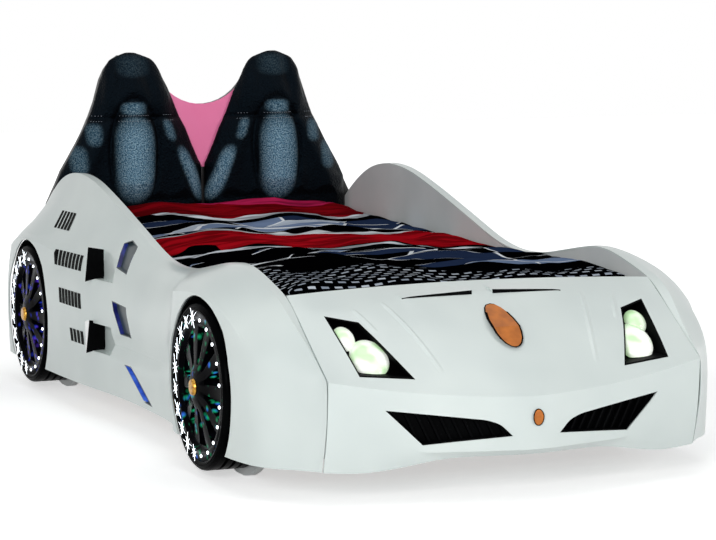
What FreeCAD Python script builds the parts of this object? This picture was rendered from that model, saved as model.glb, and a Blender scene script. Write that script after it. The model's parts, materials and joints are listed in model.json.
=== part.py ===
import FreeCAD, Part

import os
from math import cos, hypot, pi, radians, sin

from FreeCAD import Vector

# A children's bed in the form of a low race car. All sizes are millimetres.
# The nose points to -Y, the headboard is at +Y, +Z is up and the floor is at
# z = 0. "left" is the side at +X and "right" the side at -X.

# ---------------------------------------------------------------- driving sizes
well_width = 922            # between the side boards
mattress_side_gap = 11      # between the mattress and a side board
mattress_length = 1860
mattress_height = 150
mattress_corner_radius = 60
slat_top = 279              # height of the sleeping base above the floor
well_head_y = 1083          # front face of the seat forms, at the mattress end
mattress_gap = 6            # free space at the head
foot_gap = 14               # free space at the foot

board = 18                  # thickness of every furniture board
board_bottom = 62
wall = 4                    # sheet thickness of the body shells
clearance = 0.3             # between pieces that seat on each other
seam = 2                    # visible joint between two shells

front_wheel_back = 200      # from the foot board to the middle of a front wheel
rear_wheel_y = 912
wheel_z = 212
arch_radius = 213
tyre_radius = 196
tyre_bead_radius = 173
leg_radius = 214
lamp_radius = 5
lamp_height = 4
lamp_seat = 4               # depth of the rim's edge behind the tyre's outer plane
hub_reach = 8               # how far the hub stands out of that plane
dish_depth = 36             # depth of the windows between the spokes
dish_line = [(146, 14), (60, 3), (32, -hub_reach), (0, -hub_reach)]   # (radius, depth)
window_corners = ((52, 0.5), (140, 0.9), (140, -0.9), (52, -0.5))     # (radius, share of width)
rim_sheet = 8
wheel_reach = 140           # from a side board's inner face to the outer plane of the tyre
lamp_ring_radius = 160
lamp_count = 20
spoke_count = 10
hub_radius = 21

hood_overlap = 7            # how far the hood reaches over the foot board, on the middle line
hood_edge_z = 451
nose_reach = 375            # from the foot board to the tip of the nose
seam_corner = 18            # from the foot board to where a seam starts at the top
seam_kink = 272             # and to where it turns down
seam_kink_z = 278
shell_bottom = 74

rear_end_y = 1168
rear_panel_top = 500
rear_panel_overhang = 26    # how far the rear panel reaches past a side board
rear_panel_radius = 70
rear_panel_bevel = 8
headboard_peak_z = 950
pad_depth = 46

HALF_WELL = well_width / 2
HALF_MATTRESS = HALF_WELL - mattress_side_gap
MATTRESS_TOP = slat_top + mattress_height
MATTRESS_HEAD = well_head_y - mattress_gap
MATTRESS_FOOT = MATTRESS_HEAD - mattress_length
FOOT_BOARD_Y = MATTRESS_FOOT - foot_gap
HEAD_BOARD_Y = well_head_y + pad_depth
REAR_PANEL_Y = HEAD_BOARD_Y + board
LEG_FACE = HALF_WELL + board
WHEEL_FACE = HALF_WELL + wheel_reach
foot = FOOT_BOARD_Y         # places in the front part are given from the foot board
wheel_y = {"front": foot + front_wheel_back, "rear": rear_wheel_y}
hood_edge_y = foot + hood_overlap
nose_tip_y = foot - nose_reach
seam_corner_y = foot - seam_corner
seam_kink_y = foot - seam_kink


# ---------------------------------------------------------------- small helpers
def save(name, shape):
    """Write one named piece."""
    os.makedirs("parts", exist_ok=True)
    shape.exportStep("parts/" + name + ".step")


def mirrored(shape):
    """The same piece on the other side of the bed."""
    return shape.mirror(Vector(0, 0, 0), Vector(1, 0, 0))


def save_pair(name, right_shape):
    """Write a piece of the -X side and its twin."""
    save(name + "_right", right_shape)
    save(name + "_left", mirrored(right_shape))


def fused(shapes):
    """One solid from several that touch or overlap."""
    shape = shapes[0].multiFuse(shapes[1:]) if len(shapes) > 1 else shapes[0]
    return shape.removeSplitter()


def block(x0, x1, y0, y1, z0, z1):
    """A box between six planes."""
    low = Vector(min(x0, x1), min(y0, y1), min(z0, z1))
    return Part.makeBox(abs(x1 - x0), abs(y1 - y0), abs(z1 - z0), low)


def prism(points, direction):
    """Extrude a flat outline of 3-D points."""
    outline = Part.makePolygon(points + points[:1])
    return Part.Face(outline).extrude(direction)


def curve_through(points):
    """A smooth function through (position, value) pairs that never overshoots."""
    points = sorted(points)
    xs = [p[0] for p in points]
    ys = [p[1] for p in points]
    steps = [(ys[i + 1] - ys[i]) / (xs[i + 1] - xs[i]) for i in range(len(xs) - 1)]
    slopes = [steps[0]]
    for before, after in zip(steps, steps[1:]):
        same_way = before * after > 0
        slopes.append(2 * before * after / (before + after) if same_way else 0)
    slopes.append(steps[-1])

    def value(x):
        if x <= xs[0]:
            return ys[0] + slopes[0] * (x - xs[0])
        if x >= xs[-1]:
            return ys[-1] + slopes[-1] * (x - xs[-1])
        i = max(k for k in range(len(xs) - 1) if xs[k] <= x)
        span = xs[i + 1] - xs[i]
        t = (x - xs[i]) / span
        rise = (3 - 2 * t) * t * t
        return (ys[i] * (1 - rise) + ys[i + 1] * rise
                + span * t * (1 - t) * ((1 - t) * slopes[i] - t * slopes[i + 1]))

    return value


def offset_path(path, distance):
    """Move an open path of 2-D points to its right by a distance."""
    normals = []
    for (u0, v0), (u1, v1) in zip(path, path[1:]):
        length = hypot(u1 - u0, v1 - v0)
        normals.append(((v1 - v0) / length, -(u1 - u0) / length))
    moved = []
    for i, (u, v) in enumerate(path):
        n0 = normals[max(i - 1, 0)]
        n1 = normals[min(i, len(normals) - 1)]
        scale = distance / (1 + n0[0] * n1[0] + n0[1] * n1[1])
        moved.append((u + (n0[0] + n1[0]) * scale, v + (n0[1] + n1[1]) * scale))
    return moved


def facet(corners):
    """Flat face through corners that lie in one plane, without repeated ones."""
    kept = [c for c, before in zip(corners, corners[-1:] + corners[:-1])
            if (c - before).Length > 1e-4]
    return [Part.Face(Part.makePolygon(kept + kept[:1]))] if len(kept) > 2 else []


def band(ring, following):
    """Flat facets between two rings: one for a flat quad, else two at its short diagonal."""
    faces = []
    for a, b, c, d in zip(ring, ring[1:] + ring[:1], following[1:] + following[:1], following):
        across = (c - a).cross(d - b)
        if abs(across.dot(b - a)) < 1e-7 * across.Length:
            faces += facet([a, b, c, d])
        elif (c - a).Length < (d - b).Length:
            faces += facet([a, b, c]) + facet([a, c, d])
        else:
            faces += facet([a, b, d]) + facet([b, c, d])
    return faces


def closed_solid(faces):
    return Part.Solid(Part.Shell(faces)).removeSplitter()


def loft(sections):
    """A solid through closed polygons with equally many corners, in flat facets."""
    faces = facet(sections[0]) + facet(sections[-1])
    for section, following in zip(sections, sections[1:]):
        faces += band(section, following)
    return closed_solid(faces)


def between(stations, count):
    """The stations with evenly spaced ones added, count steps for each gap."""
    steps = [a + (b - a) * i / count for a, b in zip(stations, stations[1:]) for i in range(count)]
    return steps + [stations[-1]]


def turned(profile, y, sides=36):
    """Turn a closed (x, radius) outline round a wheel's axis, in flat facets."""
    turns = [2 * pi * (i + 0.5) / sides for i in range(sides)]
    rings = [[Vector(x, y + r * sin(t), wheel_z + r * cos(t)) for t in turns] for x, r in profile]
    faces = []
    for ring, following in zip(rings, rings[1:] + rings[:1]):
        faces += band(ring, following)
    return closed_solid(faces)


# ---------------------------------------------------------------- body lines
# Each line gives one feature of the side shell as a function of y.
rail_height = curve_through([(1150, 482), (1096, 518), (985, 576), (900, 604), (790, 618),
                             (700, 616), (500, 578), (302, 526), (123, 478), (50, 456), (-80, 438),
                             (-200, 442), (foot + 413, 468), (foot + 237, 492), (foot + 137, 480),
                             (foot + 51, 458), (seam_corner_y, 441), (foot - 133, 367),
                             (seam_kink_y, seam_kink_z)])
crease_drop = curve_through([(1150, 8), (1090, 14), (900, 44), (760, 52), (560, 42), (300, 22),
                             (50, 6), (foot + 413, 3), (foot + 97, 5), (foot - 18, 12),
                             (foot - 133, 6), (seam_kink_y, 3)])
crease_reach = curve_through([(1150, 32), (900, 31), (560, 32), (50, 36), (foot + 413, 46),
                              (foot + 77, 46), (foot - 18, 44), (foot - 133, 20),
                              (seam_kink_y, 2.5)])
shoulder_height = curve_through([(1150, 432), (1020, 446), (900, 453), (560, 455), (300, 447),
                                 (50, 434), (-80, 425), (-260, 431), (foot + 413, 450),
                                 (foot + 237, 465), (foot + 77, 443), (foot - 18, 404),
                                 (foot - 73, 364), (foot - 133, 338), (seam_kink_y, 270)])
shoulder_share = curve_through([(1150, 0.63), (912, 0.72), (560, 0.66), (300, 0.63), (50, 0.6),
                                (-260, 0.62), (foot + 413, 0.67), (foot + 200, 0.68),
                                (foot - 18, 0.67), (foot - 133, 0.6), (seam_kink_y, 0.5)])
hip_height = curve_through([(1150, 388), (1020, 422), (912, 431), (797, 425), (560, 405),
                            (300, 398), (-80, 386), (-260, 392), (foot + 413, 412),
                            (foot + 200, 431), (foot + 77, 410), (foot - 18, 364), (foot - 73, 322),
                            (foot - 133, 304), (seam_kink_y, 262)])
hip_share = curve_through([(1150, 0.9), (912, 0.96), (560, 0.91), (300, 0.88), (-80, 0.87),
                           (-260, 0.88), (foot + 413, 0.95), (foot + 200, 0.965), (foot - 18, 0.91),
                           (foot - 133, 0.87), (seam_kink_y, 0.75)])
flank_reach = curve_through([(1150, 137), (1090, 142), (912, 144), (797, 142), (560, 134),
                             (400, 125), (250, 108), (50, 96), (-200, 97), (-300, 106),
                             (foot + 413, 138), (foot + 200, 142), (foot + 77, 138),
                             (foot - 18, 130), (foot - 73, 120), (foot - 133, 76), (foot - 203, 43),
                             (seam_kink_y, 7)])
flank_height = curve_through([(1150, 300), (foot + 77, 300), (foot - 18, 292), (foot - 73, 272),
                              (foot - 133, 262), (seam_kink_y, 240)])
channel_depth = curve_through([(1150, 0), (450, 0), (330, 9), (230, 15), (-200, 13), (-340, 3),
                               (foot + 397, 0), (seam_kink_y, 0)])
corner_turn = curve_through([(1150, 0), (foot - 3, 0), (foot - 73, 18), (foot - 133, 38),
                             (foot - 203, 60), (seam_kink_y, 80)])

side_stations = between((REAR_PANEL_Y, 1040, 900, 720, 520, 300, 90, -110, -280, foot + 413,
                         foot + 297, foot + 157, foot + 17, foot - 73, foot - 143, foot - 208,
                         foot - 269), 2)
sill_height = 172           # crease along the sill
rail_roll = board + wall + clearance + 1     # width of the rail on top of a side board


def side_path(y):
    """Outer line of the side shell at a station: (reach from the rail, height)."""
    rail = rail_height(y)
    reach = flank_reach(y)
    roll = min(rail_roll, 0.75 * crease_reach(y))
    depth = channel_depth(y)
    flank = flank_height(y)
    door = flank - sill_height
    return [(0, rail),
            (roll, rail + 0.06 * roll),
            (crease_reach(y), rail - crease_drop(y)),
            (shoulder_share(y) * reach, shoulder_height(y)),
            (hip_share(y) * reach, hip_height(y)),
            (reach, flank),
            (reach - 0.2 * depth, sill_height + 0.56 * door),
            (reach - depth, sill_height + 0.27 * door),
            (reach + 0.2 * depth, sill_height),
            (reach - 5, shell_bottom)]


def side_point(y, reach, height):
    """Turn a station's (reach, height) into a point on the -X side."""
    turn = radians(corner_turn(y))
    return Vector(-HALF_WELL - reach * cos(turn), y - reach * sin(turn), height)


def side_wall_section(y):
    """Closed section of the thin side shell; its back leaves out the softest lines."""
    outer = side_path(y)
    inner = offset_path(outer, wall)
    inner = [inner[line] for line in (0, 1, 2, 4, 5, 7, 8, 9)]
    return [side_point(y, r, z) for r, z in outer + inner[::-1]]


def side_body_section(y):
    """Closed section of everything between the shell's outside and the rail line."""
    outer = side_path(y)
    return [side_point(y, r, z) for r, z in outer] + [side_point(y, -wall, shell_bottom)]


# ---------------------------------------------------------------- side shell
# Openings of the side shell, as (y, z) corners seen from the side.
slot_outlines = {
    "upper": [(252, 468), (212, 479), (162, 466), (133, 398), (216, 408)],
    "middle": [(208, 324), (103, 317), (66, 241), (148, 241)],
    "lower": [(108, 169), (52, 171), (-104, 88), (-36, 90)],
}
slot_tray_wall = 2
slot_tray_depth = 18
light_strip_depth = 5
vent_y = 340                # rear wall of the two air scoops
vent_heights = {"upper": (368, 446), "lower": (178, 252)}
scoop_length = 125
scoop_depth = 36
scoop_wall = 3
grille_thickness = 3
bar_height = 4
bar_pitch = 11
bar_reach = 4               # how far the louvres stand out of the grille
grille_margin = 3           # from the end of a louvre to the edge of the grille


def outline_at(points, x):
    """Corner points of a (y, z) outline in the plane of an x."""
    return [Vector(x, y, z) for y, z in points]


def shrunk(points, distance):
    """Move the edges of a closed outline inwards by a distance."""
    area = sum(a[0] * b[1] - b[0] * a[1] for a, b in zip(points, points[1:] + points[:1]))
    ring = points if area < 0 else points[::-1]
    path = offset_path([ring[-1]] + ring + [ring[0]], distance)
    return path[1:-1]


def side_prism(outline, margin):
    """Straight prism across the side shell through a (y, z) outline, less a margin."""
    low_x = -HALF_WELL - 190
    high_x = -HALF_WELL - board - clearance
    return prism(outline_at(shrunk(outline, margin), low_x), Vector(high_x - low_x, 0, 0))


def scoop_wedge(low, high, grow):
    """The hollow of an air scoop: deep at its rear wall and running out forwards."""
    outer_x = -HALF_WELL - 200
    deep_x = -HALF_WELL - flank_reach(vent_y) + scoop_depth + grow
    front_y = vent_y - scoop_length - 2 * grow
    shallow_x = -HALF_WELL - flank_reach(front_y) + channel_depth(front_y)
    corners = [Vector(outer_x, vent_y + grow, low - grow),
               Vector(deep_x, vent_y + grow, low - grow),
               Vector(shallow_x, front_y, low - grow),
               Vector(outer_x, front_y, low - grow)]
    return prism(corners, Vector(0, 0, high - low + 2 * grow))


def make_side_panel():
    """The side shell with its arches, scoops and slots, and the body it encloses."""
    skin = loft([side_wall_section(y) for y in side_stations])
    body = loft([side_body_section(y) for y in side_stations])
    for name in wheel_y:
        arch = [(-HALF_WELL - 200, 0), (-HALF_WELL - 200, arch_radius), (-HALF_WELL - 1, arch_radius),
                (-HALF_WELL - 1, 0)]
        skin = skin.cut(turned(arch, wheel_y[name]))
    liners = []
    for low, high in vent_heights.values():
        hollow = scoop_wedge(low, high, 0)
        liners.append(scoop_wedge(low, high, scoop_wall).cut(hollow).common(body))
        skin = skin.cut(hollow)
    skin = skin.cut(block(-LEG_FACE - clearance, 0, HEAD_BOARD_Y - clearance, rear_end_y, 0,
                          headboard_peak_z))
    skin = skin.cut(block(-HALF_WELL, 0, 2 * nose_tip_y, FOOT_BOARD_Y - board, 0,
                          headboard_peak_z))
    panel = fused([skin] + liners)
    for outline in slot_outlines.values():
        panel = panel.cut(side_prism(outline, 0))
    return panel, body


def make_slot_trays(body):
    """Dark trays that close the slots from behind, and the lit strip in each."""
    trays = []
    strips = []
    for outline in slot_outlines.values():
        plug = side_prism(outline, clearance).common(body)
        cavity = side_prism(outline, clearance + slot_tray_wall)
        behind = body.translated(Vector(slot_tray_depth, 0, 0))
        floor = body.translated(Vector(slot_tray_depth - slot_tray_wall, 0, 0))
        trays.append(plug.cut(behind).cut(cavity.cut(floor)))
        lit = side_prism(outline, 2 * clearance + slot_tray_wall)
        lit = lit.common(floor.translated(Vector(-clearance - light_strip_depth, 0, 0)))
        lit = lit.cut(floor.translated(Vector(-clearance, 0, 0)))
        strips.append(lit)
    return Part.makeCompound(trays), Part.makeCompound(strips)


def make_vent_grilles():
    """Louvred inserts on the rear walls of the scoops."""
    grilles = []
    y1 = vent_y - clearance
    y0 = y1 - grille_thickness
    x_in = -HALF_WELL - flank_reach(vent_y) + scoop_depth - 1
    x_out = -HALF_WELL - flank_reach(vent_y) + wall
    for low, high in vent_heights.values():
        plate = block(x_out, x_in, y0, y1, low + clearance, high - clearance)
        bars = []
        z = low + bar_pitch
        while z < high - bar_pitch:
            bars.append(block(x_out + grille_margin, x_in - grille_margin, y0 - bar_reach, y0, z,
                              z + bar_height))
            z += bar_pitch
        grilles.append(fused([plate] + bars))
    return Part.makeCompound(grilles)


# ---------------------------------------------------------------- nose shell
nose_stations = (-1, -0.9, -0.8, -0.7, -0.58, -0.44, -0.3, -0.16, -0.06, 0.06, 0.16, 0.3, 0.44,
                 0.58, 0.7, 0.8, 0.9, 1)
lip_rise = curve_through([(0, 27), (0.4, 25), (0.62, 7), (0.82, -5), (1, -1)])
# Openings of the nose as (distance inwards from a seam, height).
headlight_outline = [(61, 400), (132, 386), (203, 274), (79, 284)]
intake_outline = [(125, 212), (346, 184), (376, 174), (404, 146), (281, 137), (209, 131)]
hood_slot_inset = 260       # outer end of a slot in the hood, measured like them
hood_slot_start = 25        # its inner end, from the middle of the bed
hood_slot_y = (foot - 69, foot - 55)
hood_slot_z = (330, 480)    # heights between which the slot is cut
hood_break = (foot - 203, 366)   # where the hood turns down, on the middle line: y and z
bezel_depth = 34
bezel_wall = 3
NOSE_OUTWARDS = Vector(0, -0.6, 0.8)      # away from the sloping face of the nose


def nose_path(s):
    """Outer line of the nose at a share s of the way from the middle to a seam."""
    t = abs(s)
    edge_y = hood_edge_y + (seam_corner_y - hood_edge_y) * t * t
    edge_z = hood_edge_z + (rail_height(seam_corner_y) - hood_edge_z) * t * t
    kink_y = nose_tip_y + 7 + (seam_kink_y - nose_tip_y - 7) * t
    kink_z = seam_kink_z - 45 * (1 - t * t)
    return [(edge_y, edge_z),
            (edge_y - 72, edge_z - 19 - 24 * t ** 3),
            (hood_break[0] + 34 * t, hood_break[1] - 22 * t ** 1.5),
            (kink_y, kink_z),
            (nose_tip_y + (seam_kink_y - nose_tip_y + 5) * t, 186),
            (nose_tip_y + 4 + (seam_kink_y - nose_tip_y + 16) * t, 114),
            (nose_tip_y + 22 + (seam_kink_y - nose_tip_y + 12) * t, shell_bottom + lip_rise(t))]


def nose_wall_section(s):
    """Closed section of the nose shell in a plane along the bed."""
    outer = nose_path(s)
    inner = [(y, z) for y, z in offset_path(outer, -wall)]
    x = s * (HALF_WELL - seam)
    return [Vector(x, y, z) for y, z in outer + inner[::-1]]


def nose_body_section(s):
    """Closed section of the space inside the nose, down to its lower edge."""
    outer = nose_path(s)
    x = s * (HALF_WELL - seam)
    return [Vector(x, y, z) for y, z in outer] + [Vector(x, outer[0][0], outer[-1][1])]


def nose_prism(outline, side, margin=0):
    """Prism along the bed through an outline of the nose on one side."""
    ring = shrunk([(side * (HALF_WELL - inset), z) for inset, z in outline], margin)
    corners = [Vector(x, nose_tip_y - 30, z) for x, z in ring]
    return prism(corners, Vector(0, 360, 0))


def hood_slot_prism(side, margin=0):
    """Upright prism through a slot in the hood."""
    inner = hood_slot_start + margin
    outer = HALF_WELL - hood_slot_inset - margin
    return block(side * inner, side * outer, hood_slot_y[0] + margin, hood_slot_y[1] - margin,
                 *hood_slot_z)


def make_nose():
    """The hood and bumper shell, and the body it encloses."""
    shell = loft([nose_wall_section(s) for s in nose_stations])
    body = loft([nose_body_section(s) for s in nose_stations])
    for side in (-1, 1):
        shell = shell.cut(nose_prism(headlight_outline, side))
        shell = shell.cut(nose_prism(intake_outline, side))
        shell = shell.cut(hood_slot_prism(side))
    return shell, body


# Lenses: distance inwards from the seam, y, height, radius and rise of the dome.
lamp_lenses = [(143, foot - 205, 326, 42, 38), (109, foot - 141, 366, 23, 24)]
lens_seat = (14, -19)       # from the shell to the lens in y and z
lens_tilt = 38
lens_steps = ((1.0, 0.0), (0.86, 0.5), (0.5, 0.87), (0.16, 1.0))
lens_sides = 16


def lamp_dome(x, y, z, radius, height):
    """A domed lens that faces up and forward, with flat facets as in cut glass."""
    turns = [2 * pi * i / lens_sides for i in range(lens_sides)]
    dome = loft([[Vector(share * radius * cos(t), share * radius * sin(t), lift * height)
                  for t in turns] for share, lift in lens_steps])
    dome.rotate(Vector(0, 0, 0), Vector(1, 0, 0), lens_tilt)
    dome.translate(Vector(x, y, z))
    return dome


def make_headlight(body):
    """Black tray of the headlight on the -X side and its two lenses."""
    plug = nose_prism(headlight_outline, -1, clearance).common(body)
    back = -NOSE_OUTWARDS * bezel_depth
    floor = -NOSE_OUTWARDS * (bezel_depth - bezel_wall)
    cavity = nose_prism(headlight_outline, -1, clearance + bezel_wall)
    tray = plug.cut(body.translated(back)).cut(cavity.cut(body.translated(floor)))
    lamps = []
    for inset, y, z, radius, height in lamp_lenses:
        dome = lamp_dome(inset - HALF_WELL, y + lens_seat[0], z + lens_seat[1], radius, height)
        dome = dome.common(nose_prism(headlight_outline, -1, 2 * clearance + bezel_wall))
        lamps.append(dome.cut(body.translated(floor + NOSE_OUTWARDS * clearance)))
    return tray, Part.makeCompound(lamps)


intake_flange = 12          # width of the tray's rim behind the shell
intake_sheet = 2.5          # thickness of the tray
intake_depth = 24
intake_bar = (5, 24)        # thickness and pitch of the slanted bars
intake_bar_count = 12
intake_lean = 40            # how far a bar leans outwards over its height


def make_intake_grille(body):
    """Black tray behind a lower intake, with a rim on the shell and slanted bars."""
    seat = 1.2 * wall + clearance

    def between_depths(shape, front, back):
        return shape.common(body.translated(Vector(0, front, 0))).cut(
            body.translated(Vector(0, back, 0)))

    rim = between_depths(nose_prism(intake_outline, -1, -intake_flange), seat, seat + intake_sheet)
    plug = between_depths(nose_prism(intake_outline, -1, clearance), seat, intake_depth)
    inside = nose_prism(intake_outline, -1, clearance + intake_sheet)
    hollow = inside.cut(body.translated(Vector(0, intake_depth - intake_sheet, 0)))
    tray = rim.fuse(plug).cut(hollow)
    low = intake_outline[-1][1]
    high = intake_outline[0][1]
    thickness, pitch = intake_bar
    bars = []
    for i in range(intake_bar_count):
        x = HALF_WELL - intake_outline[3][0] + 3 + i * pitch
        corners = [(x, low), (x + thickness, low), (x + thickness + intake_lean, high),
                   (x + intake_lean, high)]
        bars.append(prism([Vector(-u, nose_tip_y, z) for u, z in corners], Vector(0, 130, 0)))
    bars = Part.makeCompound(bars).common(inside)
    bars = between_depths(bars, seat + 6, intake_depth - intake_sheet / 2)
    return fused([tray] + bars.Solids)


def make_hood_slot_inserts(body):
    """Dark strips that close both slots of the hood."""
    strips = []
    for side in (-1, 1):
        plug = hood_slot_prism(side, clearance)
        plug = plug.common(body.translated(Vector(0, 0, -3)))
        strips.append(plug.cut(body.translated(Vector(0, 0, -9))))
    return Part.makeCompound(strips)


badges = [(369, 34, 42), (186, 13, 19)]    # middle height, half width and half height
badge_thickness = 4
badge_sides = 20


def make_badges(body):
    """Two plain oval plates that follow the nose, where a maker's signs would be."""
    turns = [2 * pi * i / badge_sides for i in range(badge_sides)]
    under = body.translated(NOSE_OUTWARDS * clearance)
    over = body.translated(NOSE_OUTWARDS * (clearance + badge_thickness))
    plates = []
    for z, half_width, half_height in badges:
        ring = [Vector(half_width * cos(t), nose_tip_y - 40, z + half_height * sin(t))
                for t in turns]
        plates.append(prism(ring, Vector(0, 300, 0)).common(over).cut(under))
    return Part.makeCompound(plates)


# ---------------------------------------------------------------- bed frame
foot_board_top = 420
support_width = 50
hood_support_gap = 4.5      # between a slot in the hood and the block beside it
hood_support_z = (330, 480) # heights between which a hood support is cut from the body
sill_support_y = (500, 260, -260)
sill_support_z = (94, 134)
ledge_size = 28
slat_count = 13
slat_width = 70
beam_width = 40
beam_height = 60
centre_leg_y = (foot + 397, 200, 800)
block_size = 40
bolt_head_radius = 9
bolt_head_height = 6


def rail_line(y):
    """Height of the rail at y, straight between the stations of the side shell."""
    for rear, front in zip(side_stations, side_stations[1:]):
        if rear >= y >= front:
            share = (rear - y) / (rear - front)
            return rail_height(rear) + share * (rail_height(front) - rail_height(rear))


def make_side_board():
    """Side board whose upper edge follows the rail."""
    rear_y = HEAD_BOARD_Y
    front_y = FOOT_BOARD_Y - board
    ys = [rear_y] + [y for y in side_stations if front_y < y < rear_y] + [front_y]
    top = [(y, rail_line(y) - wall - clearance) for y in ys]
    outline = outline_at([(rear_y, board_bottom)] + top + [(front_y, board_bottom)], -LEG_FACE)
    return prism(outline, Vector(board, 0, 0))


def make_foot_board():
    """Cross board under the rear edge of the hood."""
    return block(-HALF_WELL + clearance, HALF_WELL - clearance, FOOT_BOARD_Y - board,
                 FOOT_BOARD_Y, board_bottom, foot_board_top)


def slat_positions():
    """Middle of each slat along the bed."""
    first = MATTRESS_FOOT + slat_width
    last = MATTRESS_HEAD - slat_width
    return [first + (last - first) * i / (slat_count - 1) for i in range(slat_count)]


def make_slats():
    slats = []
    for y in slat_positions():
        slats.append(block(-HALF_WELL + 4, HALF_WELL - 4, y - slat_width / 2, y + slat_width / 2,
                           slat_top - board, slat_top))
    return Part.makeCompound(slats)


def make_ledge():
    """Rail on the inside of a side board that carries the slats."""
    top = slat_top - board
    return block(-HALF_WELL, -HALF_WELL + ledge_size, FOOT_BOARD_Y, HEAD_BOARD_Y,
                 top - ledge_size, top)


def make_centre_beam():
    """Beam under the middle of the slats."""
    top = slat_top - board
    half = beam_width / 2
    return block(-half, half, FOOT_BOARD_Y, HEAD_BOARD_Y, top - beam_height, top)


def make_centre_legs():
    """Three legs between the beam and the floor."""
    top = slat_top - board - beam_height
    half = beam_width / 2
    return Part.makeCompound([block(-half, half, y - half, y + half, 0, top)
                              for y in centre_leg_y])


def make_corner_blocks():
    """Wood blocks in the four inner corners of the frame."""
    blocks = []
    for side in (-1, 1):
        for y, step in ((FOOT_BOARD_Y, block_size), (HEAD_BOARD_Y, -block_size)):
            x = side * HALF_WELL
            blocks.append(block(x, x - side * block_size, y, y + step, board_bottom + 20,
                                slat_top - board - ledge_size - 5))
    return Part.makeCompound(blocks)


def make_hood_supports(body):
    """Wood blocks on the foot board that carry the hood."""
    under = body.translated(Vector(0, 0, -1.4 * wall - clearance))
    blocks = []
    beside = HALF_WELL - hood_slot_inset + hood_support_gap
    for x0, x1 in ((-beside - support_width, -beside), (-hood_slot_start, hood_slot_start),
                   (beside, beside + support_width)):
        y = FOOT_BOARD_Y - board
        post = block(x0, x1, y - support_width, y, *hood_support_z)
        blocks.append(post.common(under))
    return Part.makeCompound(blocks)


def make_sill_supports(body):
    """Wood blocks between a side board and the lower edge of the side shell."""
    inside = body.translated(Vector(wall + 2 * clearance, 0, 0))
    blocks = []
    for y in sill_support_y:
        post = block(-HALF_WELL - flank_reach(y), -LEG_FACE, y, y + support_width,
                     *sill_support_z)
        blocks.append(post.common(inside))
    return Part.makeCompound(blocks)


def make_frame_bolts():
    """Hexagon heads of the bolts that hold the leg boards to the side boards."""
    turns = [pi * i / 3 for i in range(6)]
    bolts = []
    for side in (-1, 1):
        for y in wheel_y.values():
            for z in (110, 180):
                ring = [Vector(side * (HALF_WELL - bolt_head_height), y + bolt_head_radius * sin(t),
                               z + bolt_head_radius * cos(t)) for t in turns]
                bolts.append(prism(ring, Vector(side * bolt_head_height, 0, 0)))
    return Part.makeCompound(bolts)


# ---------------------------------------------------------------- headboard
head_board_width = well_width + 2 * board
pad_bottom = slat_top + 110
notch_z = 596
# Reach of a seat form from its middle, outwards and inwards, as shares of half the well.
pad_middle_x = 0.488 * HALF_WELL
pad_outer = curve_through([(pad_bottom, 0.505), (540, 0.508), (575, 0.503), (601, 0.466),
                           (645, 0.408), (719, 0.317), (800, 0.243), (875, 0.195), (925, 0.121),
                           (940, 0.078), (948, 0.026)])
pad_inner = curve_through([(pad_bottom, 0.475), (560, 0.475), (notch_z, 0.479), (675, 0.386),
                           (750, 0.308), (820, 0.256), (863, 0.213), (910, 0.156), (937, 0.095),
                           (948, 0.026)])
pad_fullness = curve_through([(pad_bottom, 1), (800, 1), (880, 0.86), (925, 0.62), (948, 0.4)])
pad_levels = (pad_bottom, 480, 560, 610, 670, 740, 764, 786, 840, 890, 925, 948)
board_inset = 6             # how far the board stays behind the edge of a seat form
head_board_levels = (560, 600, 640, 680, 720, 760, 800, 835, 865, 895, 920)
head_board_shoulder = 505
head_board_peak = ((-30, 14), (30, 16), (66, 50))   # (x from a seat form's middle, drop)
saddle_z = 846              # ends of the concave top between the seat forms
saddle_low_z = 788
seam_level = 764            # height of the stitched cross seam
seam_depth = 7
seam_reach = 20             # how far above and below the seam the pad is drawn in
channel = 13                # depth of the two channels beside the raised middle


def pad_section(z):
    """Horizontal section of a seat form: flat back, two bolsters and a raised middle."""
    outer = HALF_WELL * pad_outer(z)
    inner = HALF_WELL * pad_inner(z)
    depth = (pad_depth - clearance) * pad_fullness(z)
    depth -= seam_depth * max(0, 1 - abs(z - seam_level) / seam_reach)
    groove = depth - channel * pad_fullness(z)
    profile = [(-outer, 0), (-outer, 0.5 * depth), (-0.9 * outer, 0.82 * depth),
               (-0.68 * outer, depth - 2), (-0.5 * outer, groove + 3), (-0.42 * outer, groove + 3),
               (-0.26 * outer, depth - 1), (0, depth), (0.26 * inner, depth - 1),
               (0.42 * inner, groove + 3), (0.5 * inner, groove + 3), (0.68 * inner, depth - 2),
               (0.9 * inner, 0.82 * depth), (inner, 0.5 * depth), (inner, 0)]
    back = HEAD_BOARD_Y - clearance
    return [Vector(x - pad_middle_x, back - d, z) for x, d in profile]


def make_pad():
    """The seat form on the -X side, upholstered over a flat back."""
    return loft([pad_section(z) for z in pad_levels])


def make_head_board():
    """Board behind the seat forms, with a concave top between them."""
    y = HEAD_BOARD_Y
    half = head_board_width / 2
    rise = [Vector(board_inset - pad_middle_x - HALF_WELL * pad_outer(z), y, z)
            for z in head_board_levels]
    peak = [Vector(-pad_middle_x + x, y, headboard_peak_z - drop)
            for x, drop in head_board_peak]
    inner_x = pad_middle_x - HALF_WELL * pad_inner(saddle_z)
    right = [Vector(-half, y, board_bottom), Vector(-half, y, head_board_shoulder)] + rise + peak
    left = [Vector(-p.x, y, p.z) for p in reversed(right)]
    saddle = Part.Arc(Vector(-inner_x, y, saddle_z), Vector(0, y, saddle_low_z),
                      Vector(inner_x, y, saddle_z)).toShape().discretize(12)
    return prism(right + saddle + left, Vector(0, board, 0))


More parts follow.
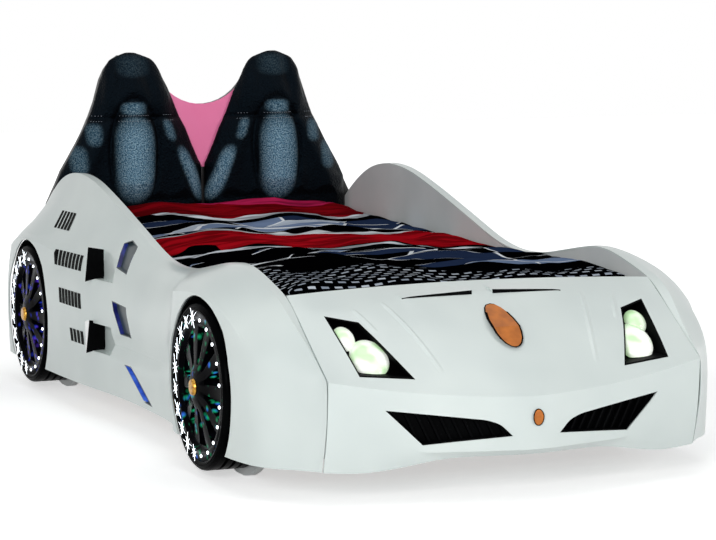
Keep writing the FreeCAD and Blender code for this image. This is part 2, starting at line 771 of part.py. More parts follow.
def rear_outline(inset, y):
    """Outline of the rear panel, less an inset, with its two upper corners cut round."""
    half = LEG_FACE + rear_panel_overhang - inset
    top = rear_panel_top - inset
    radius = rear_panel_radius - inset
    turns = [pi / 2 * i / 5 for i in range(6)]
    right = [Vector(-half + radius * (1 - cos(t)), y, top - radius * (1 - sin(t))) for t in turns]
    left = [Vector(-p.x, y, p.z) for p in reversed(right)]
    low = shell_bottom + inset
    return [Vector(-half, y, low)] + right + left + [Vector(half, y, low)]


def make_rear_panel():
    """White end shell behind the headboard: a shallow tray with the switch in it."""
    y0 = REAR_PANEL_Y + clearance
    bevel = rear_panel_bevel
    tray = loft([rear_outline(0, y0), rear_outline(0, rear_end_y - bevel),
                 rear_outline(bevel, rear_end_y)])
    hollow = loft([rear_outline(wall, y0 - 1), rear_outline(wall, rear_end_y - bevel - 2),
                   rear_outline(bevel + 2, rear_end_y - wall)])
    return tray.cut(hollow).cut(control_block(clearance))


# ---------------------------------------------------------------- mattress and spread
mattress_insets = ((0, 18), (0.14, 4), (0.5, 0), (0.86, 4), (1, 18))   # share of height, inset


def mattress_outline(inset, z):
    """Rounded rectangle of the mattress, less an inset."""
    half = HALF_MATTRESS - inset
    radius = mattress_corner_radius - inset
    turns = [pi / 2 * i / 3 for i in range(4)]
    corner = [(radius * (1 - cos(t)), radius * (1 - sin(t))) for t in turns]
    low = MATTRESS_FOOT + inset
    high = MATTRESS_HEAD - inset
    ring = [Vector(-half + u, high - v, z) for u, v in corner]
    ring += [Vector(half - u, high - v, z) for u, v in reversed(corner)]
    ring += [Vector(half - u, low + v, z) for u, v in corner]
    return ring + [Vector(-half + u, low + v, z) for u, v in reversed(corner)]


def make_mattress():
    """Mattress with round corners and drawn-in upper and lower edges."""
    low = slat_top + clearance
    return loft([mattress_outline(inset, low + share * (MATTRESS_TOP - low))
                 for share, inset in mattress_insets])


spread_overhang = 2         # how far the spread reaches past the mattress on a side
spread_half = HALF_MATTRESS + spread_overhang
spread_head_y = well_head_y - 3
spread_foot_y = MATTRESS_FOOT
spread_crown = curve_through([(foot + 14, 20), (foot + 97, 26), (-357, 29), (25, 29), (395, 36),
                              (681, 47), (871, 56), (1080, 68)])
fold_height = 6
fold_count = 3
spread_steps = 14


def spread_section(y, phase):
    """Section of the padded spread: soft folds between two drawn-in sides."""
    base = MATTRESS_TOP + clearance
    crown = spread_crown(y)
    count = 2 * fold_count + 1
    points = [Vector(-spread_half, y, base), Vector(-spread_half, y, base + 0.4 * crown)]
    for i in range(2 * count + 1):
        share = (i + 1) / (2 * count + 2)
        ripple = fold_height * sin(2 * pi * fold_count * share + phase)
        drawn_in = 1 - (2 * share - 1) ** 6
        points.append(Vector(spread_half * (2 * share - 1) * 0.98, y,
                             base + crown * (0.45 + 0.55 * drawn_in) + ripple * drawn_in))
    return points + [Vector(spread_half, y, base + 0.4 * crown), Vector(spread_half, y, base)]


def make_bedspread():
    """The padded spread: folds that wander from the foot to the head."""
    span = spread_head_y - spread_foot_y
    sections = []
    for i in range(spread_steps + 1):
        share = i / spread_steps
        phase = 2.2 * sin(2.4 * share + 0.6) + 1.5 * share
        sections.append(spread_section(spread_foot_y + span * share, phase))
    return loft(sections)


# ---------------------------------------------------------------- wheels
liner_wall = 3
liner_bottom = 84
liner_inset = 13            # from the outside of the shell to the liner's edge


def make_leg_disc(y):
    """Round board that carries the bed, cut flat where it stands on the floor."""
    disc = turned([(-LEG_FACE - board, 0), (-LEG_FACE - board, leg_radius), (-LEG_FACE, leg_radius),
                   (-LEG_FACE, 0)], y)
    return disc.common(block(-LEG_FACE - board - 5, -LEG_FACE + 5, y - 300, y + 300, 0, 500))


def make_arch_liner(y):
    """Black band inside a wheel arch, from the leg board to the edge of the shell."""
    outer = -HALF_WELL - flank_reach(y) + liner_inset
    inner = -LEG_FACE - board - clearance
    radius = arch_radius - clearance
    ring = turned([(outer, radius), (inner, radius), (inner, radius - liner_wall),
                   (outer, radius - liner_wall)], y)
    return ring.common(block(outer - 5, inner + 5, y - 300, y + 300, liner_bottom, 500))


def make_tyre(y):
    """Hollow tyre cover with a rounded shoulder and a bead."""
    out = -WHEEL_FACE
    back = -LEG_FACE - board - clearance
    r = tyre_radius
    bead = tyre_bead_radius
    profile = [(out + 3, bead), (out, bead + 6), (out, r - 9), (out + 12, r), (back - 4, r),
               (back, bead)]
    return turned(profile, y)


def spoke_window(angle, y, x, depth):
    """The opening between two spokes: narrow at the hub and wide at the rim."""
    half = 0.62 * pi / spoke_count
    corners = []
    for radius, share in window_corners:
        turn = angle + half * share
        corners.append(Vector(x, y + radius * sin(turn), wheel_z + radius * cos(turn)))
    return prism(corners, Vector(depth, 0, 0))


def make_rim(y):
    """Dished rim with spokes and a barrel that fits in the tyre."""
    out = -WHEEL_FACE
    fit = tyre_bead_radius - clearance
    back = -LEG_FACE - board - clearance
    floor = out + dish_depth + rim_sheet
    profile = [(out + lamp_seat, fit), (out + lamp_seat, lamp_ring_radius - 8)]
    profile += [(out + depth, radius) for radius, depth in dish_line]
    profile += [(floor, 0), (floor, fit - rim_sheet), (back, fit - rim_sheet), (back, fit)]
    rim = turned(profile, y)
    for i in range(spoke_count):
        angle = 2 * pi * i / spoke_count
        rim = rim.cut(spoke_window(angle, y, out - 2 * hub_reach, dish_depth + 2 * hub_reach))
    return rim


def make_wheel_lamps(y):
    """Ring of small six-sided lamps on the rim's outer edge."""
    seat = -WHEEL_FACE + lamp_seat - clearance
    lamps = []
    for i in range(lamp_count):
        turn = 2 * pi * (i + 0.5) / lamp_count
        middle = Vector(seat, y + lamp_ring_radius * sin(turn),
                        wheel_z + lamp_ring_radius * cos(turn))
        ring = [middle + Vector(0, lamp_radius * sin(k * pi / 3), lamp_radius * cos(k * pi / 3))
                for k in range(6)]
        lamps.append(prism(ring, Vector(-lamp_height, 0, 0)))
    return Part.makeCompound(lamps)


def make_hub_cap(y):
    """Small domed cap in the middle of the rim."""
    out = -WHEEL_FACE - hub_reach - clearance
    profile = [(out, 0), (out, hub_radius), (out - 5, hub_radius - 3), (out - 8, 0)]
    return turned(profile, y, 16)


def save_wheels(name, make):
    """Write one kind of wheel piece, once for each of the four wheels."""
    for place, y in wheel_y.items():
        save_pair(name + "_" + place, make(y))


# ---------------------------------------------------------------- light control
control_width = 80
control_height = 56
control_x = 0               # its middle on the rear panel
control_z = 300
switch_size = (24, 16)      # width and height of the opening for the rocker
axis_depth = 6              # axis of the rocker behind the face of the panel
rocker_radius = 5           # round underside of the rocker, about its axis
rocker_round = 60           # half the angle that the round underside takes up
rocker_face = [(4.6, 6.6), (3.6, 0), (4.6, -6.6)]       # from the axis: y and z


def control_block(grow):
    """The outer box of the light control, flush with the rear panel."""
    return block(control_x - control_width / 2 - grow, control_x + control_width / 2 + grow,
                 REAR_PANEL_Y + clearance - grow, rear_end_y + grow,
                 control_z - control_height / 2 - grow, control_z + control_height / 2 + grow)


def make_light_control():
    """Closed box in the rear panel with an opening whose floor is a trough for the rocker."""
    width, height = switch_size
    x0 = control_x - width / 2
    axis_y = rear_end_y - axis_depth
    radius = rocker_radius + clearance
    shelf = axis_y - radius * cos(radians(rocker_round))
    opening = block(x0, x0 + width, shelf, rear_end_y + 1, control_z - height / 2,
                    control_z + height / 2)
    trough = Part.makeCylinder(radius, width, Vector(x0, axis_y, control_z), Vector(1, 0, 0))
    return control_block(0).cut(opening).cut(trough)


def make_rocker():
    """Rocker key that tips on its round underside."""
    half = switch_size[0] / 2 - clearance
    middle = Vector(control_x - half, rear_end_y - axis_depth, control_z)
    face = [middle + Vector(0, y, z) for y, z in rocker_face]
    low, back, high = [middle - Vector(0, cos(turn), sin(turn)) * rocker_radius
                       for turn in (radians(rocker_round), 0, -radians(rocker_round))]
    edges = Part.makePolygon([high] + face + [low]).Edges
    edges.append(Part.Arc(low, back, high).toShape())
    return Part.Face(Part.Wire(edges)).extrude(Vector(2 * half, 0, 0))


# ---------------------------------------------------------------- the whole bed
def main():
    side_panel, side_body = make_side_panel()
    save_pair("side_panel", side_panel)
    trays, strips = make_slot_trays(side_body)
    save_pair("side_slot_trays", trays)
    save_pair("side_light_strips", strips)
    save_pair("side_vent_grilles", make_vent_grilles())

    nose, nose_body = make_nose()
    save("nose_shell", nose)
    tray, lamps = make_headlight(nose_body)
    save_pair("headlight_bezel", tray)
    save_pair("headlight_lamps", lamps)
    save_pair("intake_grille", make_intake_grille(nose_body))
    save("hood_slot_inserts", make_hood_slot_inserts(nose_body))
    save("nose_badges", make_badges(nose_body))

    save_pair("side_board", make_side_board())
    save("foot_board", make_foot_board())
    save("head_board", make_head_board())
    save("rear_panel", make_rear_panel())
    save("slats", make_slats())
    save_pair("slat_ledge", make_ledge())
    save("centre_beam", make_centre_beam())
    save("centre_legs", make_centre_legs())
    save("corner_blocks", make_corner_blocks())
    save("frame_bolts", make_frame_bolts())
    save("hood_supports", make_hood_supports(nose_body))
    supports = make_sill_supports(side_body)
    save("sill_supports", Part.makeCompound(supports.Solids + mirrored(supports).Solids))

    save_pair("headboard_pad", make_pad())
    save("mattress", make_mattress())
    save("bedspread", make_bedspread())

    save_wheels("leg_disc", make_leg_disc)
    save_wheels("arch_liner", make_arch_liner)
    save_wheels("tyre", make_tyre)
    save_wheels("wheel_rim", make_rim)
    save_wheels("wheel_lamps", make_wheel_lamps)
    caps = [make_hub_cap(y) for y in wheel_y.values()]
    save("hub_caps", Part.makeCompound(caps + [mirrored(cap) for cap in caps]))

    save("light_control", make_light_control())
    save("rocker_switch", make_rocker())


main()
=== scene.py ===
# %% [markdown]
# # A children's bed in the form of a low race car
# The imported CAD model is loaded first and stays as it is. Every piece made
# below is placed in the same frame: metres, +Z up, the nose towards -Y and the
# padded headboard towards +Y.

# %% Load the frame
import json
from math import cos, pi, radians, sin

import bmesh
import bpy
from mathutils import Matrix, Vector, noise
from mathutils.bvhtree import BVHTree

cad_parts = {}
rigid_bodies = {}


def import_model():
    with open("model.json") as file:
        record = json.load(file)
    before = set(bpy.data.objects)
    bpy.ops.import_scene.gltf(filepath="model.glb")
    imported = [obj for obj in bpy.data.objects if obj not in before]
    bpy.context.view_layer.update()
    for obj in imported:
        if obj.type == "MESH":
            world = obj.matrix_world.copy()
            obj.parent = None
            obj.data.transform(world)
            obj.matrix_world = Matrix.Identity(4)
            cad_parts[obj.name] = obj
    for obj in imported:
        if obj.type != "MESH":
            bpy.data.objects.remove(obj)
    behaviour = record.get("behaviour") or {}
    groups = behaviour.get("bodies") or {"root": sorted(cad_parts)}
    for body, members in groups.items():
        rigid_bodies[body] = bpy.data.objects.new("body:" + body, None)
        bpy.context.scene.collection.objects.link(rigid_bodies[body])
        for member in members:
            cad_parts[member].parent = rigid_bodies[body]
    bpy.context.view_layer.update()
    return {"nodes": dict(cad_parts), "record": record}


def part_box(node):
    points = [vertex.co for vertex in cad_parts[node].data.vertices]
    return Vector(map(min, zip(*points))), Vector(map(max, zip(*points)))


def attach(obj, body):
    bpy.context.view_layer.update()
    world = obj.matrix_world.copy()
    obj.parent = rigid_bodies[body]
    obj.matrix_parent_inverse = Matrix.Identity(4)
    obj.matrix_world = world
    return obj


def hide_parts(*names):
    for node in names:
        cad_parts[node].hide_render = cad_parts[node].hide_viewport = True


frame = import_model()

# %% [markdown]
# ## Camera
# The photograph was taken from low down in front of the bed with a long lens,
# so the wheels look like narrow ellipses and the lines along the bed hardly
# meet. The place and the turn of the camera were solved from the outlines.

# %% Camera
CAMERA_PLACE = Vector((-2.498, -6.267, 1.125))
AZIMUTH, ELEVATION, ROLL = radians(-22.09), radians(6.15), radians(-0.34)
SENSOR_MM = 36
FOCAL_PIXELS, IMAGE_PIXELS = 2603.8, 716

back = Vector((sin(AZIMUTH) * cos(ELEVATION), -cos(AZIMUTH) * cos(ELEVATION), sin(ELEVATION)))
right = Vector((0, 0, 1)).cross(back).normalized()
up = back.cross(right)
turned = Matrix((right, up, back)).transposed() @ Matrix.Rotation(ROLL, 3, "Z")
camera_data = bpy.data.cameras.new("photo_camera")
camera_data.sensor_width = SENSOR_MM
camera_data.sensor_fit = "HORIZONTAL"
camera_data.lens = SENSOR_MM * FOCAL_PIXELS / IMAGE_PIXELS
camera_data.clip_end = 60
camera = bpy.data.objects.new("photo_camera", camera_data)
camera.matrix_world = Matrix.Translation(CAMERA_PLACE) @ turned.to_4x4()
bpy.context.collection.objects.link(camera)
bpy.context.scene.camera = camera
bpy.context.scene.view_settings.view_transform = "Standard"
print("lens of", round(camera_data.lens, 1), "mm")

# %% [markdown]
# ## Small helpers
# One function turns an sRGB hex colour to linear light, one adds a shader node
# with its settings and links, and one starts a material with its main shader.
# A node given as an input stands for its first output. Pattern sizes are given
# in millimetres and turned to a texture scale.

# %% Colour and node helpers
def colour(hex_code):
    """Linear RGBA from an sRGB hex code."""
    parts = [int(hex_code[i:i + 2], 16) / 255 for i in (1, 3, 5)]
    linear = [p / 12.92 if p <= 0.04045 else ((p + 0.055) / 1.055) ** 2.4 for p in parts]
    return (*linear, 1)


def set_inputs(tree, node, inputs):
    """Set a node's inputs to values, or link them to sockets or other nodes."""
    for name, value in inputs.items():
        if isinstance(value, bpy.types.Node):
            value = next(output for output in value.outputs if output.enabled)
        if isinstance(value, bpy.types.NodeSocket):
            tree.links.new(value, node.inputs[name])
        else:
            node.inputs[name].default_value = value


def add(tree, kind, inputs=None, stops=(), **settings):
    """Add a node with its properties, its ramp's (position, hex colour) stops and its inputs."""
    node = tree.nodes.new("ShaderNode" + kind)
    for name, value in settings.items():
        setattr(node, name, value)
    for i, (position, code) in enumerate(stops):
        elements = node.color_ramp.elements
        element = elements[i] if i < 2 else elements.new(position)
        element.position, element.color = position, colour(code)
    set_inputs(tree, node, inputs or {})
    return node


def per_mm(size):
    """Texture scale at which one cell of a pattern is that many millimetres."""
    return 1000 / size


def begin(name):
    """A new material: (its node tree, its main shader, object coordinates)."""
    material = bpy.data.materials.new(name)
    material.use_nodes = True
    tree = material.node_tree
    tree.nodes.clear()
    shader = add(tree, "BsdfPrincipled")
    add(tree, "OutputMaterial", {"Surface": shader})
    place = add(tree, "TexCoord").outputs["Object"]
    return material, tree, shader, place


# %% [markdown]
# ## Body shells: thermoformed high-gloss ABS
# The hood and the sides of such a bed are sheets of white ABS drawn over a
# mould. The surface is glossy, but a long wave stays in it, and it is a cool
# white. A thin clear coat gives the sharp reflections over the softer base.

# %% Gloss white ABS
gloss_abs, tree, shader, place = begin("thermoformed_gloss_abs")
tone = add(tree, "TexNoise", {"Vector": place, "Scale": per_mm(260), "Detail": 2})
wave = add(tree, "TexNoise", {"Vector": place, "Scale": per_mm(55), "Detail": 1})
peel = add(tree, "Bump", {"Height": wave, "Distance": 0.0005, "Strength": 0.35})
set_inputs(tree, shader, {
    "Base Color": add(tree, "ValToRGB", {"Fac": tone}, [(0.3, "#DAE3E1"), (0.7, "#E6EEEB")]),
    "Roughness": 0.3, "IOR": 1.53, "Specular IOR Level": 0.3, "Coat Weight": 0.12,
    "Coat Roughness": 0.08, "Normal": peel})

# %% [markdown]
# The lips of the air scoops get a whiter copy of the white ABS: a painted
# highlight along their edges.

# %% White lips with a painted highlight
# a lighter copy of the white shell plastic, as a painted highlight
painted_highlight_abs, tree, shader, place = begin("painted_highlight_white_abs")
highlight_tone = add(tree, "TexNoise", {"Vector": place, "Scale": per_mm(25), "Detail": 2})
set_inputs(tree, shader, {
    "Base Color": add(tree, "ValToRGB", {"Fac": highlight_tone}, [(0.3, "#F4F8F7"), (0.7, "#FFFFFF")]),
    "Roughness": 0.25, "Coat Weight": 0.3, "Coat Roughness": 0.06})

# %% [markdown]
# ## Boards: melamine-faced chipboard
# The frame is made of laminated boards with a satin face and a fine pressed
# grain. The side boards and the leg boards are white, the headboard is pink.

# %% Laminated boards
def laminated(name, face, shade):
    """Satin melamine face with its fine pressed grain."""
    material, tree, shader, place = begin(name)
    cloud = add(tree, "TexNoise", {"Vector": place, "Scale": per_mm(180), "Detail": 3})
    # the real grain of 0.4 mm is drawn at 2 mm, so that it shows
    grit = add(tree, "TexNoise", {"Vector": place, "Scale": per_mm(2), "Detail": 2})
    relief = add(tree, "Bump", {"Height": grit, "Distance": 0.0002, "Strength": 0.4})
    set_inputs(tree, shader, {
        "Base Color": add(tree, "ValToRGB", {"Fac": cloud}, [(0.3, shade), (0.7, face)]),
        "Roughness": 0.42, "Normal": relief})
    return material


board_white = laminated("melamine_board_white", "#E3E6E6", "#D8DCDC")
board_pink = laminated("melamine_board_pink", "#FF86B8", "#FA78AC")

# %% [markdown]
# Only the field between the seat forms is pink. The back and the edge band of
# the board and the parts behind the seat forms are black, which shows as a
# thin dark line round the pink.

# %% Dark edge band of the headboard
tree = board_pink.node_tree
shader = tree.nodes["Principled BSDF"]
coordinates = add(tree, "TexCoord")
turned_to = add(tree, "SeparateXYZ", {"Vector": coordinates.outputs["Normal"]})
edge = add(tree, "Math", {0: turned_to.outputs["Y"], 1: -0.5}, operation="GREATER_THAN")
where = add(tree, "SeparateXYZ", {"Vector": coordinates.outputs["Object"]})
reach = add(tree, "Math", {0: where.outputs["X"]}, operation="ABSOLUTE")
outer = add(tree, "Math", {0: reach, 1: 0.2}, operation="GREATER_THAN")
dark = add(tree, "Math", {0: edge, 1: outer}, operation="MAXIMUM")
lower = add(tree, "Math", {0: where.outputs["Z"], 1: 0.6}, operation="LESS_THAN")
dark = add(tree, "Math", {0: dark, 1: lower}, operation="MAXIMUM")
face = shader.inputs["Base Color"].links[0].from_socket
banded = add(tree, "Mix", {"Factor": dark, "A": face, "B": colour("#0A0A0B")}, data_type="RGBA")
set_inputs(tree, shader, {"Base Color": banded})

# %% [markdown]
# ## Slats and blocks: planed pine
# Pine has wide, wavy, slightly darker late-wood lines along each piece. A wave
# texture pulled along the grain and bent by noise gives them.

# %% Planed pine
pine, tree, shader, place = begin("planed_pine")
stretch_map_and_painted_sheen = add(tree, "Mapping", {"Vector": place, "Scale": (0.12, 1, 1)})
rings = add(tree, "TexWave", {"Vector": stretch_map_and_painted_sheen, "Scale": per_mm(40), "Distortion": 6,
                              "Detail": 3, "Detail Scale": 1.4}, bands_direction="Y")
fibre = add(tree, "Bump", {"Height": rings.outputs["Fac"], "Distance": 0.0003})
set_inputs(tree, shader, {
    "Base Color": add(tree, "ValToRGB", {"Fac": rings.outputs["Fac"]},
                      [(0.1, "#C79F66"), (0.9, "#DDBE8B")]), "Roughness": 0.55, "Normal": fibre})

# %% [markdown]
# ## Black plastics
# The trays, grilles and arch liners are moulded in black with a fine spark
# texture. The tyre covers are moulded glossy.

# %% Moulded black plastics
def moulded(name, face, roughness, grit_mm, depth, shine):
    """Injection-moulded plastic with the texture of its mould."""
    material, tree, shader, place = begin(name)
    grit = add(tree, "TexNoise", {"Vector": place, "Scale": per_mm(grit_mm), "Detail": 3})
    relief = add(tree, "Bump", {"Height": grit, "Distance": depth, "Strength": 0.6})
    dust = add(tree, "TexNoise", {"Vector": place, "Scale": per_mm(90), "Detail": 4})
    rough = add(tree, "MapRange", {
        "Value": dust, "To Min": 0.8 * roughness, "To Max": 1.25 * roughness})
    set_inputs(tree, shader, {
        "Base Color": add(tree, "ValToRGB", {"Fac": dust}, [(0.35, face), (0.75, "#08090A")]),
        "Roughness": rough, "Specular IOR Level": shine, "Normal": relief})
    return material


black_moulded = moulded("spark_textured_black_abs", "#030304", 0.5, 1.6, 0.0002, 0.02)
black_gloss = moulded("gloss_black_polystyrene", "#010102", 0.25, 14, 0.0001, 0.006)

# %% [markdown]
# ## Rims: smoked chrome with painted glints of the coloured lamps
# Inside the wheels the plastic is plated and smoked, so it is nearly black. Small
# glints of the lamps are painted on it as light that it gives off: green and blue
# in front, blue and violet behind. Cells of noise pick where a painted glint sits.
# It isn't made metallic, because it would mirror the white studio and turn grey.

# %% Smoked chrome
smoked_chrome, tree, shader, place = begin("smoked_chrome_plating")
cells = add(tree, "TexVoronoi", {"Vector": place, "Scale": per_mm(22), "Randomness": 1})
veil = add(tree, "TexNoise", {"Vector": place, "Scale": per_mm(60), "Detail": 3})
parts = add(tree, "SeparateXYZ", {"Vector": place})
front = add(tree, "Math", {0: parts.outputs["Y"], 1: 0.2}, operation="LESS_THAN")
# colours of the painted glints
cool = add(tree, "ValToRGB", {"Fac": veil}, [(0.46, "#030308"), (0.56, "#1A2A9A"),
                                             (0.62, "#4A2AB0"), (0.72, "#05050C")])
green = add(tree, "ValToRGB", {"Fac": veil}, [(0.44, "#030306"), (0.53, "#12905E"),
                                              (0.6, "#2A5CC8"), (0.72, "#05050C")])
painted_glint_hue = add(tree, "Mix", {"Factor": front, "A": cool, "B": green}, data_type="RGBA")
# painted glints: emission in small noise cells, in place of reflections of the lamps
painted_glint = add(tree, "MapRange", {
    "Value": cells, "From Min": 0.12, "From Max": 0.42, "To Min": 1.3, "To Max": 0.0})
set_inputs(tree, shader, {
    "Base Color": add(tree, "ValToRGB", {"Fac": veil}, [(0.3, "#010102"), (0.8, "#08080E")]),
    "Roughness": 0.22, "Specular IOR Level": 0.012, "Emission Color": painted_glint_hue,
    "Emission Strength": painted_glint})

# %% [markdown]
# ## Lamps
# The small wheel lamps are plain white light. The headlight lenses are thick
# clear domes over a white diode, so they look milky, with a touch of green.
# The slots in the sides are lit from their rear edge: the wall that faces the
# nose is blue and the floor of the slot stays grey.

# %% Lamp materials
lamp_light, tree, shader, place = begin("white_lamp")
sparkle = add(tree, "TexNoise", {"Vector": place, "Scale": per_mm(6)})
set_inputs(tree, shader, {
    "Base Color": add(tree, "ValToRGB", {"Fac": sparkle}, [(0.3, "#EAF6FF"), (0.7, "#FFFFFF")]),
    "Roughness": 0.2, "Emission Color": colour("#F4FAFF"), "Emission Strength": 3})

lens_acrylic, tree, shader, place = begin("cast_acrylic_lens")
cloud = add(tree, "TexNoise", {"Vector": place, "Scale": per_mm(42), "Detail": 1})
ribs = add(tree, "TexWave", {"Vector": place, "Scale": per_mm(34), "Distortion": 2},
           bands_direction="Z")
cut = add(tree, "Bump", {"Height": ribs.outputs["Fac"], "Distance": 0.002, "Strength": 0.3})
milky = add(tree, "ValToRGB", {"Fac": cloud}, [(0.36, "#C6ECB8"), (0.48, "#E4F6DA"),
                                               (0.6, "#FAFEF6")])
set_inputs(tree, shader, {
    "Base Color": milky, "Roughness": 0.1, "IOR": 1.49, "Emission Color": milky,
    "Emission Strength": 0.4, "Normal": cut})

lit_slot, tree, shader, place = begin("edge_lit_tray")
facing = add(tree, "SeparateXYZ", {"Vector": add(tree, "TexCoord").outputs["Normal"]})
rear_wall = add(tree, "Math", {0: facing.outputs["Y"], 1: -0.4}, operation="LESS_THAN")
haze = add(tree, "TexNoise", {"Vector": place, "Scale": per_mm(40), "Detail": 2})
height = add(tree, "SeparateXYZ", {"Vector": place})
low_slot = add(tree, "Math", {0: height.outputs["Z"], 1: 0.2}, operation="LESS_THAN")
navy = add(tree, "ValToRGB", {"Fac": haze}, [(0.4, "#10144A"), (0.7, "#23307E")])
azure = add(tree, "ValToRGB", {"Fac": haze}, [(0.4, "#2444B4"), (0.7, "#4A78E8")])
blue = add(tree, "Mix", {"Factor": low_slot, "A": navy, "B": azure}, data_type="RGBA")
wall = add(tree, "Mix", {"Factor": rear_wall, "A": colour("#39464A"), "B": blue},
           data_type="RGBA")
glow = add(tree, "Math", {0: rear_wall, 1: 0.4}, operation="MULTIPLY")
set_inputs(tree, shader, {
    "Base Color": wall, "Roughness": 0.3, "Emission Color": wall, "Emission Strength": glow})

# %% [markdown]
# ## Metal trim
# The plain badge plates are copper-coloured with an aged rim, the hub caps are
# gold, and the bolts in the frame are zinc plated.

# %% Metals
def plated(name, bright, dark, roughness, cloud_mm):
    """Metal whose colour and polish vary in soft clouds."""
    material, tree, shader, place = begin(name)
    cloud = add(tree, "TexNoise", {"Vector": place, "Scale": per_mm(cloud_mm), "Detail": 4})
    rough = add(tree, "MapRange", {
        "Value": cloud, "To Min": 0.7 * roughness, "To Max": 1.4 * roughness})
    set_inputs(tree, shader, {
        "Base Color": add(tree, "ValToRGB", {"Fac": cloud}, [(0.35, dark), (0.6, bright)]),
        "Metallic": 0.7, "Roughness": rough})
    return material


badge_copper = plated("satin_copper", "#BF7232", "#A5602A", 0.45, 30)
hub_gold = plated("gold_plating", "#D9A441", "#8A5A18", 0.25, 9)
zinc = plated("zinc_plating", "#B9BCBE", "#8C9092", 0.35, 8)

# %% [markdown]
# ## Upholstery: glossy artificial leather
# The seat forms are covered with black coated leather. On the raised panel and
# on the bolsters a blue-grey painted sheen is laid into the base colour as specks,
# in place of a lamp's reflection. The grain is a cell pattern for the relief and a
# noise for the specks, and the mesh carries how strong the painted sheen is.

# %% Artificial leather
leather, tree, shader, place = begin("coated_leather_black")
grain = add(tree, "TexVoronoi", {"Vector": place, "Scale": per_mm(5)})
fine = add(tree, "TexNoise", {
    "Vector": place, "Scale": per_mm(3.4), "Detail": 2, "Roughness": 0.5})
height = add(tree, "Math", {0: grain, 1: fine}, operation="ADD")
pores = add(tree, "Bump", {"Height": height, "Distance": 0.002, "Strength": 0.8})
black = add(tree, "ValToRGB", {"Fac": fine}, [(0.3, "#010102"), (0.7, "#040507")])
# painted sheen: blue-grey specks where a lamp's reflection would be
painted_sheen_colour = add(tree, "ValToRGB", {"Fac": fine}, [(0.36, "#2C4A60"), (0.5, "#648DA6"),
                                              (0.64, "#A6C4D3")])
# how strong the painted sheen is at each point of the mesh
stretch_map_and_painted_sheen = add(tree, "Attribute", attribute_name="painted_sheen").outputs["Fac"]
leather_with_painted_sheen = add(tree, "Mix", {"Factor": stretch_map_and_painted_sheen, "A": black, "B": painted_sheen_colour}, data_type="RGBA")
set_inputs(tree, shader, {
    "Base Color": leather_with_painted_sheen, "Roughness": 0.4, "Specular IOR Level": 0.08,
    "Specular Tint": colour("#8FC0E6"), "Normal": pores})

thread, tree, shader, place = begin("polyester_thread")
twist = add(tree, "TexWave", {"Vector": place, "Scale": per_mm(3)})
set_inputs(tree, shader, {
    "Base Color": add(tree, "ValToRGB", {"Fac": twist.outputs["Fac"]},
                      [(0.2, "#3A3F47"), (0.8, "#A9B2BD")]), "Roughness": 0.6})

# %% [markdown]
# ## Bedspread: printed satin
# The spread is shiny satin, printed mostly black with broad bands of deep red,
# blue-grey and white and with a field of small dashes. The print here is a
# design of its own in those colours: a ramp along a bent line gives the
# bands, cells of noise cut the blue-grey into shards, and a brick pattern
# gives the dashes. The gloss is left off, so that the print stays dark.

# %% Printed satin
satin, tree, shader, place = begin("printed_satin")
drift = add(tree, "TexNoise", {
    "Vector": place, "Scale": per_mm(420), "Detail": 2, "Roughness": 0.4})
axes = add(tree, "SeparateXYZ", {"Vector": place})
bend = add(tree, "Math", {0: axes.outputs["X"], 1: 4.2, 2: 0.7}, operation="MULTIPLY_ADD")
bend = add(tree, "Math", {0: bend}, operation="SINE")
line = add(tree, "Math", {0: bend, 1: 0.11, 2: axes.outputs["Y"]}, operation="MULTIPLY_ADD")
line = add(tree, "Math", {0: drift, 1: 0.5, 2: line}, operation="MULTIPLY_ADD")
along = add(tree, "MapRange", {"Value": line, "From Min": -0.6, "From Max": 1.5})
bands = add(tree, "ValToRGB", {"Fac": along}, [(0.0, "#020203"), (0.365, "#DDE2EA"),
                                               (0.383, "#020203"), (0.4, "#B00F1C"),
                                               (0.545, "#E4E8EE"), (0.56, "#020203"),
                                               (0.785, "#DDE2EA"), (0.797, "#8A0A16"),
                                               (0.9, "#C9265A")])
bands.color_ramp.interpolation = "CONSTANT"
# soft streaks along the width of the bed darken the print: painted shade of the folds
shade_streak_coords = add(tree, "Mapping", {"Vector": place, "Scale": (1, 5, 1)})
painted_shade_streaks = add(tree, "TexNoise", {
    "Vector": shade_streak_coords, "Scale": per_mm(190), "Detail": 2, "Distortion": 0.5})
shade = add(tree, "MapRange", {
    "Value": painted_shade_streaks, "From Min": 0.42, "From Max": 0.55, "To Min": 0.45})
shaded = add(tree, "Mix", {"Factor": shade, "A": colour("#020203"), "B": bands}, data_type="RGBA")
squeezed = add(tree, "Mapping", {"Vector": place, "Scale": (1, 2.4, 1)})
shards = add(tree, "TexVoronoi", {"Vector": squeezed, "Scale": per_mm(210)})
borders = add(tree, "TexVoronoi", {"Vector": squeezed, "Scale": per_mm(210)},
              feature="DISTANCE_TO_EDGE")
shard_tone = add(tree, "ValToRGB", {"Fac": shards.outputs["Color"]},
                 [(0.0, "#020203"), (0.42, "#23304C"), (0.56, "#7486A6"), (0.68, "#020203"),
                  (0.78, "#B9C3D2")])
shard_tone.color_ramp.interpolation = "CONSTANT"
thin = add(tree, "Math", {0: borders, 1: 0.02}, operation="LESS_THAN")
filled = add(tree, "Math", {0: shards.outputs["Color"], 1: 0.42}, operation="GREATER_THAN")
drawn = add(tree, "Math", {0: thin, 1: filled}, operation="MULTIPLY")
outlined = add(tree, "Mix", {"Factor": drawn, "A": shard_tone, "B": colour("#E4E8EE")},
               data_type="RGBA")
upper_field = add(tree, "Math", {0: along, 1: 0.66, 2: 0.085}, operation="COMPARE")
lower_field = add(tree, "Math", {0: along, 1: 0.255, 2: 0.085}, operation="COMPARE")
field = add(tree, "Math", {0: upper_field, 1: lower_field}, operation="MAXIMUM")
